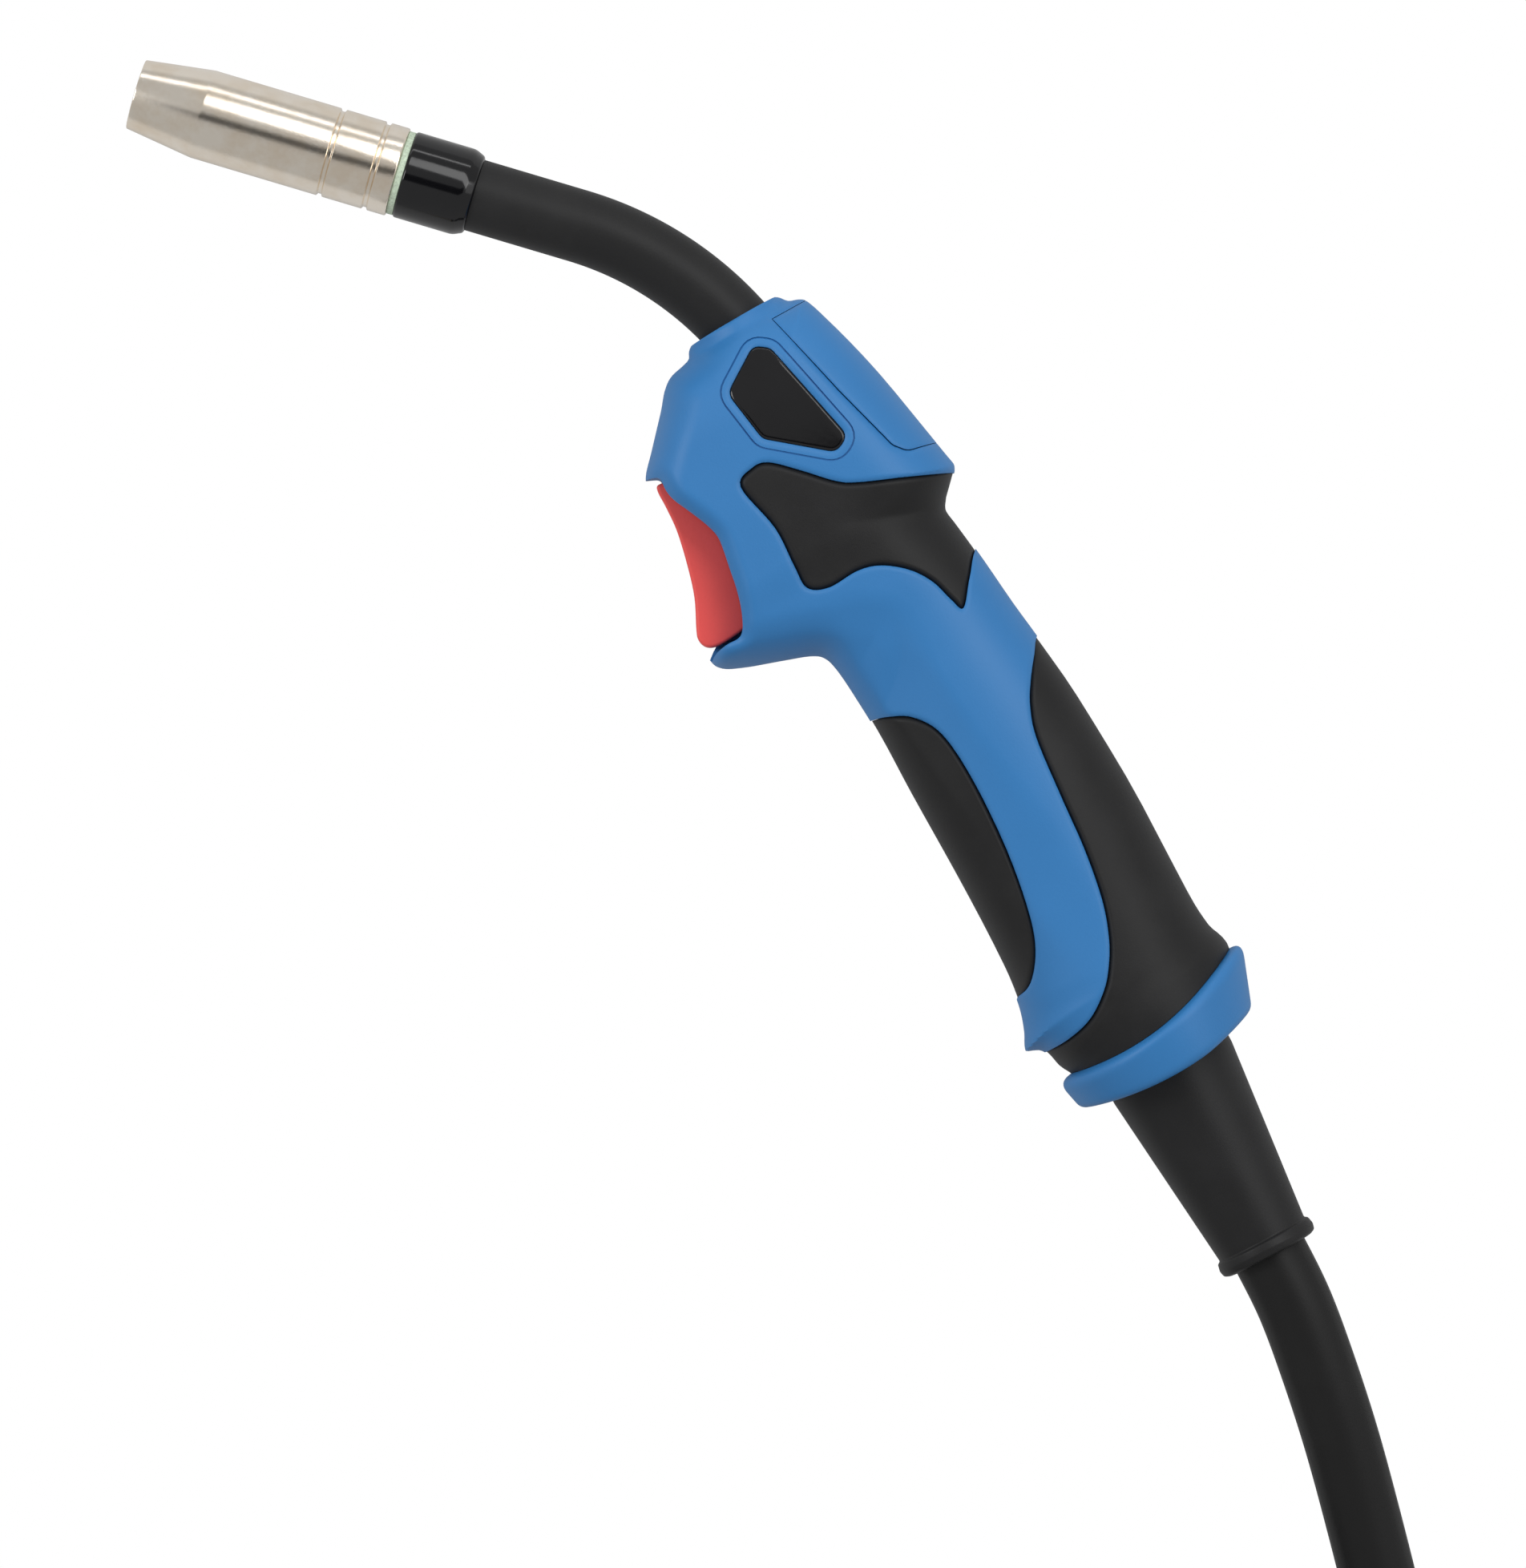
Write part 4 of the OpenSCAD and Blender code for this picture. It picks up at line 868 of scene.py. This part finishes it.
class TORCH_OT_cable(bpy.types.Operator):
    """Power cable, lying down from its boot into the stored coil and on to the connector"""

    bl_idname = "torch.cable"
    bl_label = "Cable"

    def execute(self, context):
        thick = size("cable_diameter")
        low, climb = 8.9, 90

        def on_coil(a):
            r, at = coil_radius(a), math.radians(COIL_START - a)
            rise = (thick + COIL_PLAY) * step(COIL_HALF - climb, COIL_HALF + climb, a)
            x, y = COIL_MIDDLE
            return (x + r * math.cos(at), y + r * math.sin(at), low + rise)

        route = [
            (133.15, -76.45, 21.8), (141.202, -85.0294, 21.413), (149.202, -95.5294, 20.252),
            (158.202, -108.529, 17.93), (168.202, -124.529, 14.705), (180.202, -144.529, 11.48),
            (194.202, -167.529, 9.287), (210.873, -196.639, low), on_coil(0),
        ]
        turns = [on_coil(a) for a in np.linspace(0, 2 * COIL_HALF, 132)[1:]]
        lead = np.array([-0.880125, 0.474742, 0])
        tail_run, tail_drop, in_plug = 46, 3.5, 20
        u = np.linspace(0, 1, 7)[:, None]
        tail = np.array([70.6691, -345.983, 24.5]) + tail_run * lead * u
        tail[:, 2] -= tail_drop * step(0, 1, u[:, 0])
        line = [*through(route, 4, False), *turns, *tail, tail[-1] + lead * in_plug]
        line = np.array(line) * MM
        cable = tube("cable", line, thick, 7)
        finished(cable, "torch", "cable_rubber", "power_cable", "cable_coil", "cable_tail")
        plug = ["control_pins", "liner_nut"]
        plug += [f"connector_{part}" for part in ("boot", "housing", "nut", "core")]
        thick * MM
        return {"FINISHED"}


class TORCH_OT_front_end(bpy.types.Operator):
    """Plated gas nozzle, insulating ring, glossy ferrule and the sleeve round the swan neck"""

    bl_idname = "torch.front_end"
    bl_label = "Front end and neck"

    def execute(self, context):
        long, r = size("nozzle_length"), size("nozzle_diameter") / 2
        mouth, wall, taper = size("mouth_diameter") / 2, 0.9, 13.5

        def groove(back):
            x, deep, edge = long - back, r - 0.5, 0.1
            return [
                (x - 0.6, r, edge), (x - 0.3, deep, edge), (x + 0.3, deep, edge), (x + 0.6, r, edge),
            ]

        nozzle = spun("gas_nozzle_plated", softened([
            (0, mouth - wall, 0.15), (0, mouth, 0.3), (taper, r, 3), *groove(13.4), *groove(4.3),
            (long, r, 0.4), (long, r - wall, 0.15), (taper, r - wall, 3),
        ], 6))
        finished(nozzle, "nozzle", "nickel", "gas_nozzle", place=NOZZLE)

        ring = spun("insulating_ring_fibre", softened([
            (44, 5.05), (44, 7.85, 0.3), (53.05, 7.85), (53.05, 8.3, 0.15), (54.35, 8.3, 0.15),
            (54.35, 5.05),
        ]))
        finished(ring, "torch", "green_plastic", "insulating_ring", place=NOZZLE)

        f = size("ferrule_diameter") / 2
        ferrule = spun("neck_ferrule_gloss", softened([
            (54.35, 5.05), (54.35, f, 0.6), (66.4, f, 3.4), (68.3, 7.75, 0.8), (68.55, 7.15),
            (57.35, 7.15), (57.35, 5.05),
        ], 12))
        finished(ferrule, "torch", "gloss_black", "neck_ferrule", place=NOZZLE)

        bend, bore = size("neck_radius"), 5.1
        front, straight = 57.4, 89.55
        angles = np.linspace(0, TURN, 40)
        start = np.linspace(front, straight, 24)[:-1]
        end = np.linspace(1, 8, 6)
        x = straight + bend * np.sin(angles)
        y = bend * (np.cos(angles) - 1)
        x = np.concatenate([start, x, x[-1] + end * math.cos(TURN)])
        y = np.concatenate([0 * start, y, y[-1] - end * math.sin(TURN)])
        turn = np.concatenate([0 * start, angles, np.full(len(end), TURN)])
        outer, inner = (rings(x, y, turn, r) for r in (size("neck_diameter") / 2, bore))
        sleeve = woven("neck_sleeve_bent", np.concatenate([outer, inner[::-1], outer[:1]]))
        finished(sleeve, "torch", "sleeve_black", "neck_sleeve", place=NOZZLE)
        return {"FINISHED"}


def arched(t, z, start, arch, lean):
    """Places along the handle of an arched face that leans."""
    rise = arch * (2 * z / size("collar_diameter")) ** 2
    return start + (rise - t * math.sin(lean)) / math.cos(lean)


def behind_collar():
    """Everything behind the arched front of the collar."""
    reach = 40
    t, z = np.meshgrid(np.linspace(-reach, reach, 33), np.linspace(-reach, reach, 81))
    piece = sheet("behind", np.stack([arched(t, z, *COLLAR_FRONT), t, z], 2))
    in_edit(piece, raised((FAR, 0, 0)), face_out)
    return piece


def bed(deep):
    """The handle's form at a depth."""
    return round_solid("bed", handle_side(-20.0, 166.0, 1.0, -deep))


def recess(outline, deep, side):
    """The room between an outline on one side and the handle's form at a depth."""
    room = prism("room", outline, *((-3, FAR) if side > 0 else (-FAR, 3)))
    cut(room, bed(deep))
    return room


def inlaid(name, rows, outline, edge, play, deep, side=0):
    """A piece in a recess, on one side or over both, whose edge drops by a depth over a width."""
    rows = sunk(rows, lowered(depth_inside(rows[..., :2], outline), *edge))
    piece = half_solid(name, rows, side) if side else round_solid(name, rows)
    cut(piece, prism("outline", offset(outline, -play)), "INTERSECT")
    cut(piece, bed(deep - BED_PLAY))
    return piece


class TORCH_OT_shells(bpy.types.Operator):
    """Two moulded halves of the handle, with beds for the pads, cover, badge, trigger and neck"""

    bl_idname = "torch.shells"
    bl_label = "Handle shells"

    def execute(self, context):
        edge = size("edge_depth")
        rows = parted(handle_side(-14.5, 149.0, 0.42))
        places = rows[..., :2]
        pads = (THUMB_LINE, FINGER_LINE, PALM_LINE)
        drop = lowered(-depth_inside(places, COVER_LINE), 0.5, 1.1)
        for outline in pads:
            drop = np.maximum(drop, lowered(-depth_inside(places, outline), edge, 1.8 * edge))
        bezel = lowered(-depth_inside(places, BADGE_LINE), 0.4, 0.9)
        play, swing = 0.6, math.radians(5)
        half = size("trigger_width") / 2 + play
        room = offset(through(TRIGGER, 4), play)
        c, w = math.cos(swing), math.sin(swing)
        swung = (room - PIN) @ np.array([[c, w], [-w, c]]) + PIN
        bend, neck = size("neck_radius"), size("neck_diameter") / 2 + 0.15
        d = np.append(np.linspace(0.5, 0, 24), 0)
        bore_x, bore_y = -bend * np.sin(d), -bend * (1 - np.cos(d))
        bore_x[-1] = 9
        for side, name in SIDES:
            rim = through(BAY + HOOK[side], 4, False)
            bay = np.array([(2.2, -FAR), *rim, (42, -FAR)])
            own = sunk(rows, np.maximum(drop, bezel) if side > 0 else drop)
            own[..., 2] *= 1 - lowered(-depth_inside(places, bay), 0.13, 3)
            shell = half_solid(f"handle_shell_{name}_moulded", own, side)
            cut(shell, prism("bay", bay))
            for outline in pads:
                cut(shell, recess(outline, PAD_BED, side))
            cut(shell, recess(COVER_LINE, COVER_BED, side))
            if side > 0:
                cut(shell, recess(BADGE_LINE, BADGE_BED, side))
                groove = recess(offset(BADGE_LINE, 1.9), 0.35, side)
                cut(groove, prism("island", offset(BADGE_LINE, 1.55)))
                cut(shell, groove)
            else:
                for place in SCREWS:
                    cut(shell, prism("sink", circle(place, SCREW_ROOM), -FAR, SCREW_SEAT))
            cut(shell, behind_collar())
            cut(shell, prism("slot", room, -half, half))
            cut(shell, prism("swing", swung, -half, half))
            cut(shell, woven("bore", rings(bore_x, bore_y, -d, neck, 48)))
            hollow = handle_side(-4.0, 150.0, 2.0, -3.2, -22.0, True)
            cut(shell, round_solid("hollow", hollow))
            finished(shell, "torch", "blue_plastic", f"handle_shell_{name}", place=HANDLE)
        return {"FINISHED"}


class TORCH_OT_pads(bpy.types.Operator):
    """Rubber pads on both sides, cover over the back of the head, and the bare badge plate"""

    bl_idname = "torch.pads"
    bl_label = "Pads, cover and badge"

    def execute(self, context):
        edge = (1.05, size("pad_groove"))
        for kind, outline, first, last in (
            ("thumb_pad", THUMB_LINE, 11.0, 58.0),
            ("finger_grip", FINGER_LINE, 63.0, 128.0),
            ("palm_grip", PALM_LINE, 64.0, 150.0),
        ):
            rows = parted(handle_side(first, last, 0.32, -size("pad_sink")))
            for side, name in SIDES:
                pad = inlaid(f"{kind}_{name}_rubber", rows, outline, edge, 0.06, PAD_BED, side)
                if kind == "palm_grip":
                    cut(pad, behind_collar())
                for place in SCREWS:
                    if side < 0 and depth_inside(np.array([place]), outline)[0] > -4:
                        head = circle(place, SCREW_ROOM + BED_PLAY)
                        cut(pad, prism("sink", head, -FAR, SCREW_SEAT))
                finished(pad, "torch", "grip_rubber", f"{kind}_{name}", place=HANDLE)

        rows = handle_side(-11.3, 29.0, 0.36)
        cover = inlaid("top_cover_moulded", rows, COVER_LINE, (0.4, 0.8), 0.2, COVER_BED)
        finished(cover, "torch", "blue_plastic", "top_cover", place=HANDLE)

        rows = handle_side(-10.0, 20.0, 0.25, -0.3)
        badge = inlaid("badge_plate_bare", rows, BADGE_LINE, (0.3, 0.5), 0.1, BADGE_BED, 1)
        finished(badge, "torch", "gloss_black", "badge_plate", place=HANDLE)
        return {"FINISHED"}


class TORCH_OT_trigger(bpy.types.Operator):
    """Red trigger with rounded edges, and its wound spring"""

    bl_idname = "torch.trigger"
    bl_label = "Trigger and spring"

    def execute(self, context):
        half = size("trigger_width") / 2
        trigger = prism("trigger_moulded", through(TRIGGER, 5), -half, half)
        alone(trigger)
        edge = trigger.modifiers.new("edge", "BEVEL")
        edge.width = size("trigger_edge") * MM
        edge.segments = 5
        edge.limit_method = "ANGLE"
        edge.angle_limit = math.radians(60)
        bpy.ops.object.modifier_apply(modifier=edge.name)
        cut(trigger, prism("bore", circle(PIN, 1.55)))
        finished(trigger, "trigger", "red_plastic", "trigger", place=HANDLE)

        turns, radius, wire = 6, 2.2, 0.6
        low, high = -24.1, -14.75
        turn = np.linspace(0, 2 * math.pi * turns, 24 * turns + 1)
        rise = np.linspace(low + wire / 2, high - wire / 2, len(turn))
        line = np.column_stack([SPRING + radius * np.cos(turn), rise, radius * np.sin(turn)])
        spring = tube("trigger_spring_wound", line * MM, wire, 2)
        alone(spring)
        bpy.ops.object.convert(target="MESH")
        in_edit(spring, close_up)
        finished(spring, "torch", "spring_steel", "trigger_spring", place=HANDLE)
        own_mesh(spring)
        return {"FINISHED"}


class TORCH_OT_rear(bpy.types.Operator):
    """Arched collar round the handle's end, and the cable's tapered boot"""

    bl_idname = "torch.rear"
    bl_label = "Collar and boot"

    def execute(self, context):
        big = size("collar_diameter") / 2
        taper, widest = 0.19, 144.9
        hole, off_middle = 13.05, 1.35
        # A leaning barrel trims the back, through a place along and across the handle
        barrel, trim, slope = 24, (141.3, 22.3), math.radians(24)
        rows = []
        for turn in np.linspace(0, 2 * math.pi, 145):
            c, w = math.cos(turn), math.sin(turn)
            bore = -off_middle * c + math.sqrt(hole**2 - (off_middle * w) ** 2)

            def face(r, which):
                return arched(r * c, r * w, *which)

            def outer(s):
                cone = big - taper * (s - widest)
                rise = (s - trim[0]) * math.sin(slope) + barrel - trim[1] * math.cos(slope)
                lean = c * math.cos(slope)
                whole = lean**2 + w**2
                inner = (rise * lean) ** 2 - whole * (rise**2 - barrel**2)
                back = (math.sqrt(max(inner, 0)) - rise * lean) / whole
                return lesser(cone, back, 0.9)

            def corner(which):
                r = big
                for _ in range(8):
                    r = outer(face(r, which))
                return face(r, which), r

            (s_f, r_f), (s_r, r_r) = corner(COLLAR_FRONT), corner(COLLAR_REAR)
            gap = 0.08
            loop = [(face(r, COLLAR_FRONT) + gap, r) for r in np.linspace(bore, r_f, 4)[:2]]
            loop += [(s_f + gap, r_f, 1.6 + 0.9 * abs(c)), (s_r, r_r, 3 + 1.8 * max(-c, 0))]
            loop += [(face(r, COLLAR_REAR), r) for r in np.linspace(r_r, bore, 4)[2:]]
            rows.append([(s, r * c, r * w) for s, r in softened(loop, 8)])
        collar = woven("rear_collar_moulded", looped(np.array(rows)))
        finished(collar, "torch", "blue_plastic", "rear_collar", place=HANDLE)

        r = size("boot_diameter") / 2
        boot = spun("cable_boot_rubber", softened([
            (-17.7, 7.5), (-17.7, r + 1.6, 0.4), (-14.2, r + 1.6, 0.4), (-14.2, r, 0.2), (4, r, 4),
            (40.6, 9.25, 0.5), (41, 9.9, 0.6), (42.4, 10.2, 0.9), (43.6, 9.9, 0.7), (44, 9, 0.4),
            (44, 7.5),
        ], 6))
        finished(boot, "torch", "boot_rubber", "cable_boot", place=BOOT)
        return {"FINISHED"}


class TORCH_OT_ties(bpy.types.Operator):
    """Straps that hold the stored coil"""

    bl_idname = "torch.ties"
    bl_label = "Coil ties"

    def execute(self, context):
        thick, play, high, corner = 1.2, 1.6, 33.4, 7
        half, reach = size("tie_width") / 2, size("cable_diameter") / 2 + play + thick
        rim = [(-half, 0.5), (0.35 - half, 0.06), (half - 0.35, 0.06), (half, 0.5)]
        section = rim + [(y, 1 - share) for y, share in rim[::-1]] + rim[:1]
        for number, at in enumerate((110, 200, 320), 1):
            radii = coil_radius(np.arange((COIL_START - at + 720) % 360, 2 * COIL_HALF, 360))
            low, far = radii.min() - reach, radii.max() + reach
            corners = ((low, 0), (far, 0), (far, high), (low, high))
            outer = softened([(x, z, corner) for x, z in corners], 8)
            inner = offset(outer, -thick)
            loops = []
            for y, share in section:
                x, z = (outer + (inner - outer) * share).T
                loops.append(np.column_stack([x, np.full(len(x), y), z]))
            strap = woven(f"coil_tie_{number}", looped(np.array(loops)))
            place = axes(*COIL_MIDDLE, 0, math.radians(at))
            finished(strap, "torch", "strap", "coil_ties", place=place)
        return {"FINISHED"}


class TORCH_OT_fittings(bpy.types.Operator):
    """Finishes of the pieces that keep their CAD shape"""

    bl_idname = "torch.fittings"
    bl_label = "Fittings"

    def execute(self, context):
        for row in frame["record"]["subparts"]:
            node = NODES[row["node"]]
            if not node.hide_render:
                node.data.materials.clear()
                node.data.materials.append(finish_of(row["material_slot"]))
        return {"FINISHED"}


class TORCH_PT_panel(bpy.types.Panel):
    """Lists the torch's pieces with its sizes and colours"""

    bl_label = "Welding torch"
    bl_idname = "TORCH_PT_panel"
    bl_space_type = "VIEW_3D"
    bl_region_type = "UI"
    bl_category = "Torch"

    def draw(self, context):
        for operator in OPERATORS:
            self.layout.operator(operator.bl_idname)
        for group in (context.scene.torch_sizes, context.scene.torch_colours):
            for name in group.__annotations__:
                self.layout.prop(group, name)


OPERATORS = (
    TORCH_OT_stage, TORCH_OT_cable, TORCH_OT_front_end, TORCH_OT_shells, TORCH_OT_pads,
    TORCH_OT_trigger, TORCH_OT_rear, TORCH_OT_ties, TORCH_OT_fittings,
)
CLASSES = (TorchSizes, TorchColours, *OPERATORS, TORCH_PT_panel)


def register():
    for c in CLASSES:
        bpy.utils.register_class(c)
    bpy.types.Scene.torch_sizes = bpy.props.PointerProperty(type=TorchSizes)
    bpy.types.Scene.torch_colours = bpy.props.PointerProperty(type=TorchColours)


def unregister():
    del bpy.types.Scene.torch_colours, bpy.types.Scene.torch_sizes
    for c in reversed(CLASSES):
        bpy.utils.unregister_class(c)


def main():
    register()
    for operator in OPERATORS:
        group, name = operator.bl_idname.split(".")
        getattr(getattr(bpy.ops, group), name)()


if __name__ == "__main__":
    main()
